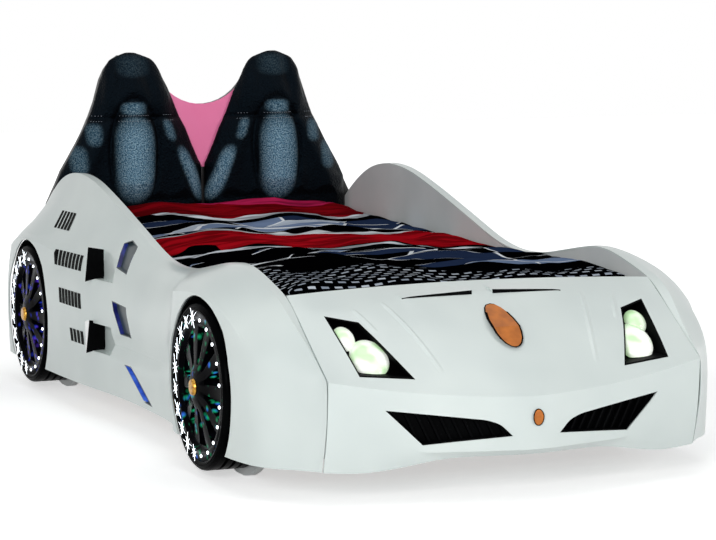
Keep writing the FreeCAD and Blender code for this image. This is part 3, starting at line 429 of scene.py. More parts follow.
darker = add(tree, "Mix", {"Factor": field, "A": shaded, "B": outlined}, data_type="RGBA")
dash = add(tree, "TexBrick", {
    "Vector": place, "Color1": colour("#C9D0DA"), "Color2": colour("#8D96A5"),
    "Mortar": colour("#020203"), "Scale": 1, "Mortar Size": 0.0075, "Brick Width": 0.033,
    "Row Height": 0.021})
low_end = add(tree, "Math", {0: along, 1: 0.13}, operation="LESS_THAN")
printed = add(tree, "Mix", {"Factor": low_end, "A": darker, "B": dash}, data_type="RGBA")
weave = add(tree, "TexWave", {"Vector": place, "Scale": per_mm(3.2), "Detail": 1})
threads = add(tree, "Bump", {"Height": weave.outputs["Fac"], "Distance": 0.0001, "Strength": 0.3})
set_inputs(tree, shader, {
    "Base Color": printed, "Roughness": 0.5, "Specular IOR Level": 0, "Normal": threads})

# %% [markdown]
# ## Mattress cover: quilted knit
# The mattress is seen only when it is lifted out. Its cover is a pale knit,
# quilted in waves, with the stitch lines pressed in and painted shade in the
# hollows of the waves.

# %% Quilted knit
knit, tree, shader, place = begin("quilted_knit")
quilt = add(tree, "TexWave", {
    "Vector": place, "Scale": per_mm(120), "Distortion": 4, "Detail": 1, "Detail Scale": 2})
loops = add(tree, "TexVoronoi", {"Vector": place, "Scale": per_mm(3)})
rise = add(tree, "Math", {0: loops, 1: 0.12, 2: quilt.outputs["Fac"]}, operation="MULTIPLY_ADD")
puffs = add(tree, "Bump", {"Height": rise, "Distance": 0.004})
# the colour follows the quilt waves: darker in their hollows, as painted shade
set_inputs(tree, shader, {
    "Base Color": add(tree, "ValToRGB", {"Fac": quilt.outputs["Fac"]},
                      [(0.0, "#CFCDC6"), (0.4, "#ECEAE4")]), "Roughness": 0.85,
    "Sheen Weight": 0.3, "Normal": puffs})

# %% [markdown]
# ## Finishes for the CAD nodes
# Every node of the frame gets the material of its slot. Nodes that are
# remade below are hidden by their piece and keep their collision only.

# %% Dress the frame
slot_finish = {
    "shell_white": gloss_abs, "board_white": board_white, "board_pink": board_pink,
    "wood_raw": pine, "plastic_black": black_moulded, "wheel_black": black_gloss,
    "wheel_dark": smoked_chrome, "lamp_white": lens_acrylic, "strip_blue": lit_slot,
    "leather_black": leather, "mattress_white": knit, "spread_print": satin,
    "bolt_steel": zinc, "badge_copper": badge_copper}
slot_of = {row["node"]: row["material_slot"] for row in frame["record"]["subparts"]}


def paint(obj, material):
    """Give an object one material."""
    obj.data.materials.clear()
    obj.data.materials.append(material)


for name, obj in frame["nodes"].items():
    paint(obj, slot_finish[slot_of[name]])
for side in ("left", "right"):
    paint(frame["nodes"]["side_slot_trays_" + side], lit_slot)
print(len(frame["nodes"]), "nodes painted")

# %% [markdown]
# ## Making pieces
# Every new piece is filled into a bmesh, given a material and a place among the
# objects, and rides on the body of the node that it stands for. Its place is
# in its mesh, so its object stays at the origin.

# %% Piece helpers
SIDES = {"right": -1, "left": 1}


def new_piece(name, fill, materials, body="bed"):
    """Make an object from the bmesh that fill makes, and let it ride on a body."""
    made = bmesh.new()
    fill(made)
    mesh = bpy.data.meshes.new(name)
    made.to_mesh(mesh)
    made.free()
    for material in materials:
        mesh.materials.append(material)
    obj = bpy.data.objects.new(name, mesh)
    bpy.context.collection.objects.link(obj)
    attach(obj, body)
    return obj


def merged_copy(made, node):
    """Fill a bmesh with a node's mesh, its loose triangles merged into flat faces."""
    made.from_mesh(frame["nodes"][node].data)
    bmesh.ops.remove_doubles(made, verts=made.verts, dist=2e-5)
    bmesh.ops.dissolve_limit(made, angle_limit=radians(0.3), verts=made.verts,
                             edges=made.edges)


def add_modifier(obj, kind, **settings):
    """Add a modifier with its settings and return it."""
    modifier = obj.modifiers.new(kind.lower(), kind)
    for name, value in settings.items():
        setattr(modifier, name, value)
    return modifier


def stands_for(node):
    """The piece hides the node."""
    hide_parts(node)


def put(made, verts, size=(1, 1, 1), turn=Matrix.Identity(3), place=(0, 0, 0)):
    """Scale points, turn them about the origin and move them to their place."""
    bmesh.ops.scale(made, vec=size, verts=verts)
    bmesh.ops.rotate(made, cent=(0, 0, 0), matrix=turn, verts=verts)
    bmesh.ops.translate(made, vec=place, verts=verts)


def smooth_shade(obj, degrees):
    """Smooth shading with sharp edges where faces meet at more than an angle."""
    obj.data.shade_smooth()
    obj.data.set_sharp_from_angle(angle=radians(degrees))


def reverse_where(made, wrong):
    """Reverse the faces of which wrong(face) is true."""
    bmesh.ops.reverse_faces(made, faces=[face for face in made.faces if wrong(face)])


def mirror_across(made):
    """Turn a piece of one side of the bed into that of the other side."""
    bmesh.ops.scale(made, vec=(-1, 1, 1), verts=made.verts)
    bmesh.ops.reverse_faces(made, faces=made.faces)


# %% [markdown]
# ## Body shells
# The CAD shells are flat facets. A copy is merged, its triangles are joined, and
# every edge sharper than a given angle is creased. A subdivision surface then
# rounds the soft body lines, as a drawn sheet of plastic is, and keeps the
# edges of the openings crisp.

# %% Side shells, hood and rear panel
TUCK_Y, TUCK_RUN, TUCK_Z = -0.96, 0.105, 0.185


def tuck_front(made):
    """Draw the lower front edge of a side back, so that it follows the nose's edge."""
    for vert in made.verts:
        reach = min(1, max(0, (TUCK_Y - vert.co.y) / TUCK_RUN))
        vert.co.y += reach * (0.004 + 0.29 * max(0, TUCK_Z - vert.co.z))


def smooth_shell(name, node, crease_from, reshape=None):
    """A rounded copy of a faceted shell, with crisp cut edges."""
    def fill(made):
        merged_copy(made, node)
        if reshape:
            reshape(made)
        bmesh.ops.triangulate(made, faces=[f for f in made.faces if len(f.verts) > 4])
        bmesh.ops.join_triangles(made, faces=made.faces, angle_face_threshold=radians(14),
                                 angle_shape_threshold=radians(60))
        crease = made.edges.layers.float.new("crease_edge")
        for edge in made.edges:
            sharp = not edge.is_manifold or edge.calc_face_angle(0) > crease_from
            edge[crease] = 1 if sharp else 0
            edge.smooth = not sharp
        for face in made.faces:
            face.smooth = True

    obj = new_piece(name, fill, [gloss_abs])
    add_modifier(obj, "SUBSURF", levels=2, render_levels=2)
    stands_for(node)
    print(name, "has", len(obj.data.polygons), "faces before its subdivision")
    return obj


side_shells = {side: smooth_shell("side_shell_" + side, "side_panel_" + side, radians(33),
                                  tuck_front) for side in SIDES}
hood = smooth_shell("hood_and_nose", "nose_shell", radians(30))


def crisp_copy(name, node, material, width=0.0012, segments=2, body="bed"):
    """A merged copy of a node whose edges are rounded a little, as moulded ones are."""
    obj = new_piece(name, lambda made: merged_copy(made, node), [material], body)
    add_modifier(obj, "BEVEL", width=width, segments=segments, limit_method="ANGLE",
                 angle_limit=radians(25), harden_normals=True)
    obj.data.shade_smooth()
    stands_for(node)
    return obj


crisp_copy("rear_shell", "rear_panel", gloss_abs, 0.003, 3)
crisp_copy("light_control_box", "light_control", black_moulded, 0.0015)
crisp_copy("rocker_key", "rocker_switch", black_gloss, 0.0008, 2, "switch_key")

# %% [markdown]
# ## Tyre covers
# The covers are blow-moulded rings. One half section is drawn as a closed line
# of points and spun round the wheel's axis. The section has a rib and two
# grooves on its wall and three grooves round its tread.

# %% Tyres
WHEEL_Z, TYRE_STEPS = 0.212, 120
WHEEL_Y = {}
for place in ("front", "rear"):
    low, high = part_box(f"tyre_{place}_right")
    WHEEL_Y[place] = (low[1] + high[1]) / 2
tyre_low, tyre_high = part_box("tyre_front_right")
TYRE_OUT, TYRE_BACK = tyre_low[0], tyre_high[0]
TYRE_RADIUS = (tyre_high[2] - tyre_low[2]) / 2
print("wheels at", WHEEL_Y, "tyre from", TYRE_OUT, "to", TYRE_BACK, "radius", TYRE_RADIUS)


def spin_ring(made, section, place):
    """Spin a closed (x, radius) section, in metres, round a wheel's axis."""
    ring = [made.verts.new((x, WHEEL_Y[place], WHEEL_Z + radius)) for x, radius in section]
    edges = [made.edges.new((a, b)) for a, b in zip(ring, ring[1:] + ring[:1])]
    bmesh.ops.spin(made, geom=ring + edges, cent=(0, WHEEL_Y[place], WHEEL_Z), axis=(1, 0, 0),
                   angle=2 * pi, steps=TYRE_STEPS, use_merge=True)
    bmesh.ops.remove_doubles(made, verts=made.verts, dist=1e-5)
    bmesh.ops.recalc_face_normals(made, faces=made.faces)


def tyre_section():
    """Wall with a rim rib and two grooves, round shoulders, and a grooved tread."""
    out, back, r = TYRE_OUT, TYRE_BACK, TYRE_RADIUS
    line = [(out + 0.004, 0.1732), (out + 0.0008, 0.1752), (out, 0.178), (out, 0.181),
            (out + 0.0016, 0.1818), (out + 0.0016, 0.1832), (out, 0.184), (out + 0.0006, 0.187),
            (out + 0.0026, 0.1884), (out + 0.0026, 0.1896), (out + 0.0018, 0.1905),
            (out + 0.006, 0.1942), (out + 0.012, r)]
    for groove in (0.03, 0.052, 0.074):
        line += [(out + groove - 0.004, r), (out + groove - 0.0025, r - 0.005),
                 (out + groove + 0.0025, r - 0.005), (out + groove + 0.004, r)]
    return line + [(back - 0.008, r), (back - 0.002, r - 0.006), (back, 0.1735)]


def make_tyre(place, side):
    """One tyre cover, turned out for its side."""
    def fill(made):
        spin_ring(made, tyre_section(), place)
        if SIDES[side] > 0:
            mirror_across(made)

    node = f"tyre_{place}_{side}"
    obj = new_piece(f"tyre_cover_{place}_{side}", fill, [black_gloss])
    smooth_shade(obj, 50)
    stands_for(node)


for place in WHEEL_Y:
    for side in SIDES:
        make_tyre(place, side)
        crisp_copy(f"rim_{place}_{side}", f"wheel_rim_{place}_{side}", smoked_chrome, 0.0016)

# %% [markdown]
# ## Wheel lamps and hub caps
# A ring of twenty small lamps sits on the rim. On the lamps of its rear half,
# glowing stars with long thin points stand for the glare of the lamps: painted
# light. A star is a circle of sixteen points with every second one drawn in.

# %% Lamp rings
LAMP_RING, LAMP_COUNT, BULB_RADIUS = 0.160, 20, 0.0042
STAR_WAIST, STAR_THICKNESS = 0.0009, 0.0009
HUB_DEPTH = 0.008


def add_painted_glare_star(made, centre, turn, grow):
    """A flat glowing star of painted glare, facing -X, whose longest points lie along the wheel's
    radius.
    """
    disc = bmesh.ops.create_circle(made, cap_ends=True, radius=1, segments=16)
    reach = [STAR_WAIST] * 16
    reach[0::8] = [0.033 * grow] * 2
    reach[4::8] = [0.026 * grow] * 2
    reach[2::4] = [0.018 * grow] * 4
    for far, vert in zip(reach, disc["verts"]):
        vert.co = Vector((0, vert.co.x * far, vert.co.y * far))
    faces = {face for vert in disc["verts"] for face in vert.link_faces}
    grown = bmesh.ops.extrude_face_region(made, geom=list(faces))
    lifted = [item for item in grown["geom"] if isinstance(item, bmesh.types.BMVert)]
    bmesh.ops.translate(made, vec=(-STAR_THICKNESS, 0, 0), verts=lifted)
    put(made, disc["verts"] + lifted, turn=Matrix.Rotation(pi / 2 - turn, 3, "X"), place=centre)


def make_lamp_ring(place, side):
    """Twenty small bulbs, and stars of painted glare on those of the rear half."""
    def fill(made):
        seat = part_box(f"wheel_lamps_{place}_right")[0][0] - 0.0002
        for i in range(LAMP_COUNT):
            turn = 2 * pi * (i + 0.5) / LAMP_COUNT
            centre = Vector((seat, WHEEL_Y[place] + LAMP_RING * sin(turn),
                             WHEEL_Z + LAMP_RING * cos(turn)))
            bulb = bmesh.ops.create_uvsphere(made, u_segments=12, v_segments=6,
                                             radius=BULB_RADIUS)
            put(made, bulb["verts"], size=(0.6, 1, 1), place=centre)
            # stars of painted glare only on the rear half of the ring
            if sin(turn) > 0.1:
                add_painted_glare_star(made, centre, turn, (1, 0.75, 0.9, 0.8)[i % 4])
        bmesh.ops.recalc_face_normals(made, faces=made.faces)
        if SIDES[side] > 0:
            mirror_across(made)

    obj = new_piece(f"lamp_ring_{place}_{side}", fill, [lamp_light])
    stands_for(f"wheel_lamps_{place}_{side}")


def fill_hubs(made):
    """Domed caps with a round shoulder on all four rims."""
    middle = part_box("hub_caps")[1][0] - 0.0005 - HUB_DEPTH / 2
    for sign in SIDES.values():
        for wheel_y in WHEEL_Y.values():
            cap = bmesh.ops.create_cone(made, cap_ends=True, segments=40, radius1=0.021,
                                        radius2=0.017, depth=HUB_DEPTH)
            put(made, cap["verts"], turn=Matrix.Rotation(sign * pi / 2, 3, "Y"),
                place=(sign * middle, wheel_y, WHEEL_Z))
    bmesh.ops.bevel(made, geom=[e for e in made.edges if e.calc_face_angle(0) > 0.6],
                    offset=0.0025, segments=4, affect="EDGES", profile=0.5, material=-1)


for place in WHEEL_Y:
    for side in SIDES:
        make_lamp_ring(place, side)
hubs = new_piece("hub_domes", fill_hubs, [hub_gold])
smooth_shade(hubs, 40)
stands_for("hub_caps")

# %% [markdown]
# ## Headlights
# Behind each opening of the nose is a black tray with two clear domes in it: a
# small one outside and above, and a large one inside and below, whose lower
# edge is cut flat. The domes are spheres, stretched and cut with a plane.

# %% Headlight domes
DOMES = (((-0.366, -0.926, 0.350), (0.025, 0.018, 0.036)),
         ((-0.330, -0.988, 0.312), (0.044, 0.022, 0.056)))
DOME_TILT = radians(-53)
OPENING = [(-0.398, 0.396), (-0.332, 0.382), (-0.264, 0.279), (-0.379, 0.288)]


def cut_to_opening(made):
    """Cut the domes with upright planes through the sides of the opening."""
    middle = Vector((sum(x for x, z in OPENING) / 4, 0, sum(z for x, z in OPENING) / 4))
    for (x0, z0), (x1, z1) in zip(OPENING, OPENING[1:] + OPENING[:1]):
        outwards = Vector((z1 - z0, 0, x0 - x1)).normalized()
        if outwards.dot(Vector((x0, 0, z0)) - middle) < 0:
            outwards.negate()
        cut = bmesh.ops.bisect_plane(made, geom=made.verts[:] + made.edges[:] + made.faces[:],
                                     plane_co=(x0, 0, z0), plane_no=outwards,
                                     clear_outer=True)
        rims = [item for item in cut["geom_cut"] if isinstance(item, bmesh.types.BMEdge)]
        if rims:
            bmesh.ops.edgeloop_fill(made, edges=rims)


def make_headlight(side):
    """Both domes of one headlight, cut to its opening."""
    def fill(made):
        for centre, reach in DOMES:
            ball = bmesh.ops.create_uvsphere(made, u_segments=40, v_segments=20, radius=1)
            put(made, ball["verts"], reach, Matrix.Rotation(DOME_TILT, 3, "X"), centre)
        cut_to_opening(made)
        if SIDES[side] > 0:
            mirror_across(made)

    obj = new_piece("headlight_domes_" + side, fill, [lens_acrylic])
    smooth_shade(obj, 50)
    stands_for("headlight_lamps_" + side)


for side in SIDES:
    make_headlight(side)

# %% [markdown]
# ## Upholstered seat forms
# Each seat form is foam under coated leather, stapled to a flat back. The CAD
# form is remeshed into small even faces, and cloth with a little pressure in it
# swells between the places where it is held. The sewn channels and the cross
# seam are pulled in afterwards, because the remesh wipes out anything finer
# than its faces.

# %% Soft pieces from CAD forms
def settle(obj):
    """Apply an object's modifiers and leave none on it."""
    finished = obj.evaluated_get(bpy.context.evaluated_depsgraph_get())
    mesh = bpy.data.meshes.new_from_object(finished)
    obj.modifiers.clear()
    obj.data = mesh


SWELL_FRAMES = 20


def swell(obj, held, pressure, cap):
    """Let a closed cloth swell a little; held(place) says which points stay."""
    start = [vert.co.copy() for vert in obj.data.vertices]
    group = obj.vertex_groups.new(name="held")
    group.add([i for i, place in enumerate(start) if held(place)], 1, "REPLACE")
    cloth = add_modifier(obj, "CLOTH")
    cloth.settings.vertex_group_mass = "held"
    cloth.settings.use_pressure = True
    cloth.settings.uniform_pressure_force = pressure
    cloth.settings.quality = 4
    cloth.settings.tension_stiffness = 25
    cloth.settings.compression_stiffness = 25
    cloth.settings.bending_stiffness = 1.5
    cloth.settings.effector_weights.gravity = 0
    cloth.collision_settings.use_self_collision = False
    cloth.point_cache.frame_end = SWELL_FRAMES
    for step in range(1, SWELL_FRAMES + 1):
        bpy.context.scene.frame_set(step)
    settle(obj)
    bpy.context.scene.frame_set(1)
    obj.vertex_groups.clear()
    for vert, place in zip(obj.data.vertices, start):
        move = vert.co - place
        vert.co = place + move * min(1, cap / max(move.length, 1e-9))


def soft_piece(name, node, body, material, voxel, held, pressure, cap, shape, rounds=1):
    """A padded piece: remesh the CAD form, swell it, then shape each point."""
    obj = new_piece(name, lambda made: merged_copy(made, node), [material], body)
    add_modifier(obj, "REMESH", mode="VOXEL", voxel_size=voxel)
    settle(obj)
    swell(obj, held, pressure, cap)
    made = bmesh.new()
    made.from_mesh(obj.data)
    for step in range(rounds):
        bmesh.ops.smooth_vert(made, verts=made.verts, factor=0.5, use_axis_x=True,
                              use_axis_y=True, use_axis_z=True)
    for vert in made.verts:
        vert.co = shape(vert.co, vert.normal)
    made.to_mesh(obj.data)
    made.free()
    obj.data.shade_smooth()
    paint(obj, material)
    stands_for(node)
    print(name, "has", len(obj.data.vertices), "points")
    return obj


# %% Seat forms
pad_low, pad_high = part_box("headboard_pad_left")
PAD_MIDDLE, SEAM_Z = 0.225, 0.752
PAD_FRONT, PAD_BACK, PAD_LOW, PAD_LIMIT = pad_low[1], pad_high[1], pad_low[2], pad_high[0]
PANEL_Z, PANEL_WIDE, PANEL_HIGH, PANEL_RISE = 0.640, 0.068, 0.160, 0.015


def dip(distance, reach, depth):
    """Depth of a sewn line at a distance from it: a soft V with round sides."""
    share = max(0, 1 - abs(distance) / reach)
    return depth * share * share


def pad_shape(place, normal):
    """Raise the oval panel, press the seams in, round the top and keep the pad's room."""
    x, y, z = place
    side = 1 if x > 0 else -1
    from_middle = abs(x) - PAD_MIDDLE
    across = abs(from_middle)
    if normal.y < -0.15:
        oval = (across / PANEL_WIDE) ** 2 + ((z - PANEL_Z) / PANEL_HIGH) ** 2
        y -= PANEL_RISE * max(0, 1 - oval) ** 0.6
        y += dip((oval ** 0.5 - 1.05) * 0.07, 0.014, 0.010) * (z < 0.83)
        y += dip(z - SEAM_Z, 0.014, 0.008)
        y += 0.0012 * noise.noise(Vector((x * 60, 3, z * 25)))
    crown = min(1, max(0, (z - 0.86) / 0.07))
    from_middle *= 1 + 0.2 * crown * crown
    if from_middle < 0:
        from_middle *= 1.03 + 0.09 * min(1, max(0, (z - 0.62) / 0.1))
    near_quilt = min(1, max(0, (0.56 - z) / 0.05))
    y = max(y, PAD_FRONT - 0.018 * (1 - near_quilt) - 0.0005)
    reach = min(max(PAD_MIDDLE + from_middle, 0.0012), PAD_LIMIT)
    return Vector((side * reach, min(y, PAD_BACK), max(z, PAD_LOW)))


# Zones of painted sheen: distance outwards from the middle of the seat form,
# height, reach across, reach up, lean and strength.
PAINTED_SHEEN_ZONES = ((0.0, 0.632, 0.064, 0.132, 0, 1), (0.0, 0.780, 0.042, 0.021, 0, 0.6),
             (-0.178, 0.585, 0.026, 0.085, 0.4, 0.8), (0.118, 0.705, 0.026, 0.036, 0, 0.4),
             (0.165, 0.630, 0.028, 0.046, 0, 0.4), (-0.110, 0.715, 0.018, 0.034, 0.3, 0.45),
             (-0.005, 0.905, 0.055, 0.036, 0, 0.1))


def painted_sheen_at(place):
    """How strong the painted sheen is at a point, from 0 to 1."""
    outwards, found = abs(place.x) - PAD_MIDDLE, 0
    for across, height, reach_x, reach_z, lean, strength in PAINTED_SHEEN_ZONES:
        dx = (outwards - across - lean * (place.z - height)) / reach_x
        dz = (place.z - height) / reach_z
        inside = max(0, 1 - abs(dx) ** 2.2 - abs(dz) ** 4)
        found = max(found, strength * inside)
    return found


for side in SIDES:
    pad = soft_piece("seat_form_" + side, "headboard_pad_" + side, "bed", leather, 0.0055,
                     lambda place: place.y > PAD_BACK - 0.004, 4, 0.014, pad_shape, 14)
    # store the painted sheen on the points that face forward
    painted_sheen = pad.data.attributes.new("painted_sheen", "FLOAT", "POINT")
    for vert, item in zip(pad.data.vertices, painted_sheen.data):
        item.value = painted_sheen_at(vert.co) if vert.normal.y < 0.2 else 0
    add_modifier(pad, "SUBSURF", levels=1, render_levels=1)

# %% [markdown]
# ## Stitches
# Twin rows of stitches follow the cross seam, on the middle panel and on both
# bolsters. Each stitch is a short thread laid on the leather: a ray is cast at
# the seat form to find the surface, and a small capsule is put there.

# %% Rows of stitches
def surface_of(obj):
    """A search tree over an object's finished surface."""
    bpy.context.view_layer.update()
    return BVHTree.FromObject(obj, bpy.context.evaluated_depsgraph_get())


def add_stitch(made, place, along, length, thickness):
    """One capsule whose long side lies along a direction."""
    ball = bmesh.ops.create_icosphere(made, subdivisions=1, radius=0.5)
    put(made, ball["verts"], (length, thickness, thickness),
        along.to_track_quat("X", "Z").to_matrix(), place)


# Rows of stitches: first and last x from the middle of the form, and rise from the seam.
STITCH_ROWS = ((-0.046, 0.046, 0.008), (-0.05, 0.05, -0.008), (-0.122, -0.09, 0.008),
               (-0.126, -0.092, -0.008), (0.09, 0.122, 0.008), (0.092, 0.126, -0.008))
STITCH_PITCH, STITCH_LENGTH, STITCH_THICKNESS = 0.0075, 0.0052, 0.0017


def make_stitches(side):
    """Cast rays at a seat form and lay a stitch where each one lands."""
    tree = surface_of(bpy.data.objects["seat_form_" + side])

    def fill(made):
        count = 0
        for start, end, rise in STITCH_ROWS:
            steps = round((end - start) / STITCH_PITCH)
            for i in range(steps):
                x = SIDES[side] * PAD_MIDDLE + start + (end - start) * (i + 0.5) / steps
                origin = Vector((x, PAD_FRONT - 0.2, SEAM_Z + rise))
                hit = tree.ray_cast(origin, Vector((0, 1, 0)))
                if hit[0]:
                    add_stitch(made, hit[0] + hit[1] * 0.0003, Vector((1, 0, 0)),
                               STITCH_LENGTH, STITCH_THICKNESS)
                    count += 1
        print(count, "stitches on the", side, "seat form")

    obj = new_piece("stitches_" + side, fill, [thread])


for side in SIDES:
    make_stitches(side)

# %% [markdown]
# ## Bedspread
# The spread is a thin quilt of satin over the mattress. The CAD form swells a
# little, and then soft ridges are laid over it: broad ones that run across the
# bed, as a spread has that was pulled up from the foot, and fine puckers
# between them.

# %% Bedspread
SPREAD_LOW, SPREAD_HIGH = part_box("bedspread")
SPREAD_SIDE, SIDE_HEM, END_HEM = SPREAD_HIGH[0], 0.07, 0.05
FOLDS = ((0.16, 0.011, 1.3), (0.07, 0.006, 5.1), (0.028, 0.0022, 9.7))  # size, height, seed
SINK = 0.009


def ridge(place, size, seed):
    """Ridges where a noise is near zero; the highest value is 1."""
    flow = Vector((place.x / (2.6 * size), place.y / size, seed))
    return 1 - abs(noise.noise(flow)) * 2


def spread_shape(place, normal):
    """Lay folds over the top of the quilt, and keep its edges on the mattress."""
    x, y, z = place
    inner = min(1, (SPREAD_SIDE - abs(x)) / SIDE_HEM)
    ends = min(1, (y - SPREAD_LOW[1]) / END_HEM, (SPREAD_HIGH[1] - y) / END_HEM)
    if normal.z > 0.3:
        lie = max(0, inner) * max(0, ends)
        folds = sum(height * ridge(place, size, seed) for size, height, seed in FOLDS)
        z += lie * (folds - SINK)
    limit = SPREAD_SIDE + 0.003
    return Vector((min(max(x, -limit), limit), y, max(z, SPREAD_LOW[2])))


spread = soft_piece("bedspread_quilt", "bedspread", "bedding", satin, 0.011,
                    lambda place: place.z < SPREAD_LOW[2] + 0.004, 3, 0.007, spread_shape)
add_modifier(spread, "SUBSURF", levels=1, render_levels=1)

# %% [markdown]
# ## Mattress
# A foam mattress in a quilted cover, whose waves are pressed into its top and
# its sides. It lies flat on the slats and under the spread.

# %% Mattress
BED_LOW, BED_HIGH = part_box("mattress")
QUILT_DEPTH = 0.0028


def mattress_shape(place, normal):
    """Waves of quilting on the top and the sides; the underside stays flat."""
    waves = 0.5 + 0.5 * cos(place.x * 52 + 2.2 * sin(place.y * 21))
    place = place - normal * (QUILT_DEPTH * waves if normal.z > -0.5 else 0)
    place.z = min(max(place.z, BED_LOW[2]), BED_HIGH[2])
    return place


mattress = soft_piece("quilted_mattress", "mattress", "bedding", knit, 0.012,
                      lambda place: abs(place.z - BED_LOW[2]) < 0.004, 2, 0.003,
                      mattress_shape)
add_modifier(mattress, "SUBSURF", levels=1, render_levels=1)

# %% [markdown]
# ## Trim on the shells
# Short plain bars stand where the real bed has lettering, so that nothing is
# named. Each outline is drawn flat, divided, and dropped on the shell along one
# axis.

# %% Bars that follow the side shells
BAR_LIFT, BAR_THICKNESS = 0.0004, 0.0008


def make_bars(side):
    """Thin plates on a side shell, each from a (y, z) outline of four corners."""
    tree = surface_of(side_shells[side])
    inwards = Vector((-SIDES[side], 0, 0))

    def fill(made):
        for outline in MARKS:
            face = made.faces.new([made.verts.new((0.62 * SIDES[side], y, z))
                                   for y, z in outline])
            bmesh.ops.subdivide_edges(made, edges=face.edges[:], cuts=3, use_grid_fill=True)
        for vert in made.verts:
            hit = tree.ray_cast(vert.co - inwards * 0.4, inwards)
            if hit[0]:
                vert.co = hit[0] + hit[1] * BAR_LIFT
        bmesh.ops.recalc_face_normals(made, faces=made.faces)
        reverse_where(made, lambda face: face.normal.dot(inwards) > 0)

    obj = new_piece("racing_bars_" + side, fill, [black_moulded])
    add_modifier(obj, "SOLIDIFY", thickness=BAR_THICKNESS, offset=1)


def leaning_bars(y, z, count, pitch, width, height, lean):
    """Outlines of parallel bars that lean back, from the front end of the row."""
    return [[(y + i * pitch, z), (y + i * pitch + width, z),
             (y + i * pitch + width + lean, z + height), (y + i * pitch + lean, z + height)]
            for i in range(count)]


MARKS = (leaning_bars(0.655, 0.468, 5, 0.026, 0.018, 0.046, 0.014)
         + leaning_bars(0.445, 0.378, 8, 0.027, 0.019, 0.040, 0.012)
         + leaning_bars(0.415, 0.280, 7, 0.026, 0.019, 0.040, 0.012)
         + leaning_bars(0.395, 0.186, 4, 0.027, 0.018, 0.034, 0.011))
for side in SIDES:
    make_bars(side)

# %% [markdown]
# A lip stands out behind each air scoop and catches the air. Its face is black
# and looks forward, and its back runs down to the side as a white wedge with a
# painted highlight.

# %% Lips of the scoops
LIP_FRONT, LIP_REAR, LIP_INNER = 0.3318, 0.392, 0.5445
LIPS = ((0.362, 0.454), (0.172, 0.260))


def make_lips(side):
    """Both wedges of a side, whose rear ends lie on the shell."""
    tree = surface_of(side_shells[side])
    sign = SIDES[side]

    def fill(made):
        for low, high in LIPS:
            face = [made.verts.new((sign * x, LIP_FRONT, z)) for x, z in (
                (LIP_INNER, low + 0.012), (0.598, low), (0.588, high), (LIP_INNER, high - 0.008))]
            black = made.faces.new(face)
            ends = []
            for z in (low + 0.01, high - 0.01):
                hit = tree.ray_cast(Vector((sign * 0.8, LIP_REAR, z)), Vector((-sign, 0, 0)))
                ends.append(made.verts.new(hit[0] - Vector((sign * 0.001, 0, 0))))
            made.faces.new((face[1], ends[0], ends[1], face[2]))
            made.faces.new((face[0], ends[0], face[1]))
            made.faces.new((face[2], ends[1], face[3]))
            made.faces.new((face[0], face[3], ends[1], ends[0]))
            black.material_index = 1
        bmesh.ops.recalc_face_normals(made, faces=made.faces)

    # the white wedges carry the painted highlight
    obj = new_piece("scoop_lips_" + side, fill, [painted_highlight_abs, black_moulded])
    add_modifier(obj, "BEVEL", width=0.0008, segments=2, limit_method="ANGLE")


for side in SIDES:
    make_lips(side)

# %% [markdown]
# Two slots lie across the hood, each with a low black face that looks forward
# and a white back that runs down to the hood. The black face stands for the
# shaded opening of the slot: painted shade. The face is highest at the middle
# of the bed. A pressed ridge runs down each side of the hood.

# %% Hood scoops and ridges
hood_tree = surface_of(hood)
DOWNWARDS = Vector((0, 0, -1))


def on_hood(x, y, lift=0.0):
    """The point of the hood under a place, raised by a lift."""
    hit = hood_tree.ray_cast(Vector((x, y, 0.7)), DOWNWARDS)
    return hit[0] + Vector((0, 0, lift))


def add_strip(made, rows, materials):
    """Join rows of points by faces, one material per column; returns the rows' vertices."""
    grid = [[made.verts.new(point) for point in row] for row in rows]
    for before, after in zip(grid, grid[1:]):
        for i, material in enumerate(materials):
            face = made.faces.new((before[i], before[i + 1], after[i + 1], after[i]))
            face.material_index = material
    return grid


SCOOP_INNER, SCOOP_DEPTH, SCOOP_STEPS, SUNK = 0.026, 0.055, 8, -0.001


def fill_scoops(made):
    """Both slots: a black front of painted shade that is low at its outer end, and a white back.
    """
    low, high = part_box("hood_slot_inserts")
    front = low[1] - 0.004
    for sign in SIDES.values():
        rows = []
        for i in range(SCOOP_STEPS + 1):
            share = i / SCOOP_STEPS
            x = sign * (SCOOP_INNER + (high[0] - SCOOP_INNER) * share)
            foot = on_hood(x, front, SUNK)
            rows.append((foot, foot + Vector((0, 0.001, 0.0105 - 0.0065 * share)),
                         on_hood(x, front + SCOOP_DEPTH, SUNK)))
        grid = add_strip(made, rows, (0, 1))
        for end in (grid[0], grid[-1]):
            made.faces.new(end).material_index = 1
    bmesh.ops.recalc_face_normals(made, faces=made.faces)
    reverse_where(made, lambda face: face.normal.z < -0.2)


scoops = new_piece("hood_scoops", fill_scoops, [black_moulded, gloss_abs])

RIDGES = (((0.252, -0.868), (0.190, -1.075)), ((0.328, -0.885), (0.300, -0.96)))
RIDGE_STEPS, RIDGE_HEIGHT = 24, 0.005


def fill_ridges(made):
    """Strips with a raised middle line that follow the hood."""
    for sign in SIDES.values():
        for (x0, y0), (x1, y1) in RIDGES:
            rows = []
            for i in range(RIDGE_STEPS + 1):
                share = i / RIDGE_STEPS
                x, y = x0 + (x1 - x0) * share, y0 + (y1 - y0) * share
                height = RIDGE_HEIGHT * max(0, sin(pi * share)) ** 0.5
                rows.append([on_hood(sign * (x + across), y, lift) for across, lift in (
                    (-0.009, -0.0006), (-0.002, 0.7 * height), (0, height),
                    (0.002, 0.7 * height), (0.009, -0.0006))])
            add_strip(made, rows, (0, 0, 0, 0))
    reverse_where(made, lambda face: face.normal.z < 0)


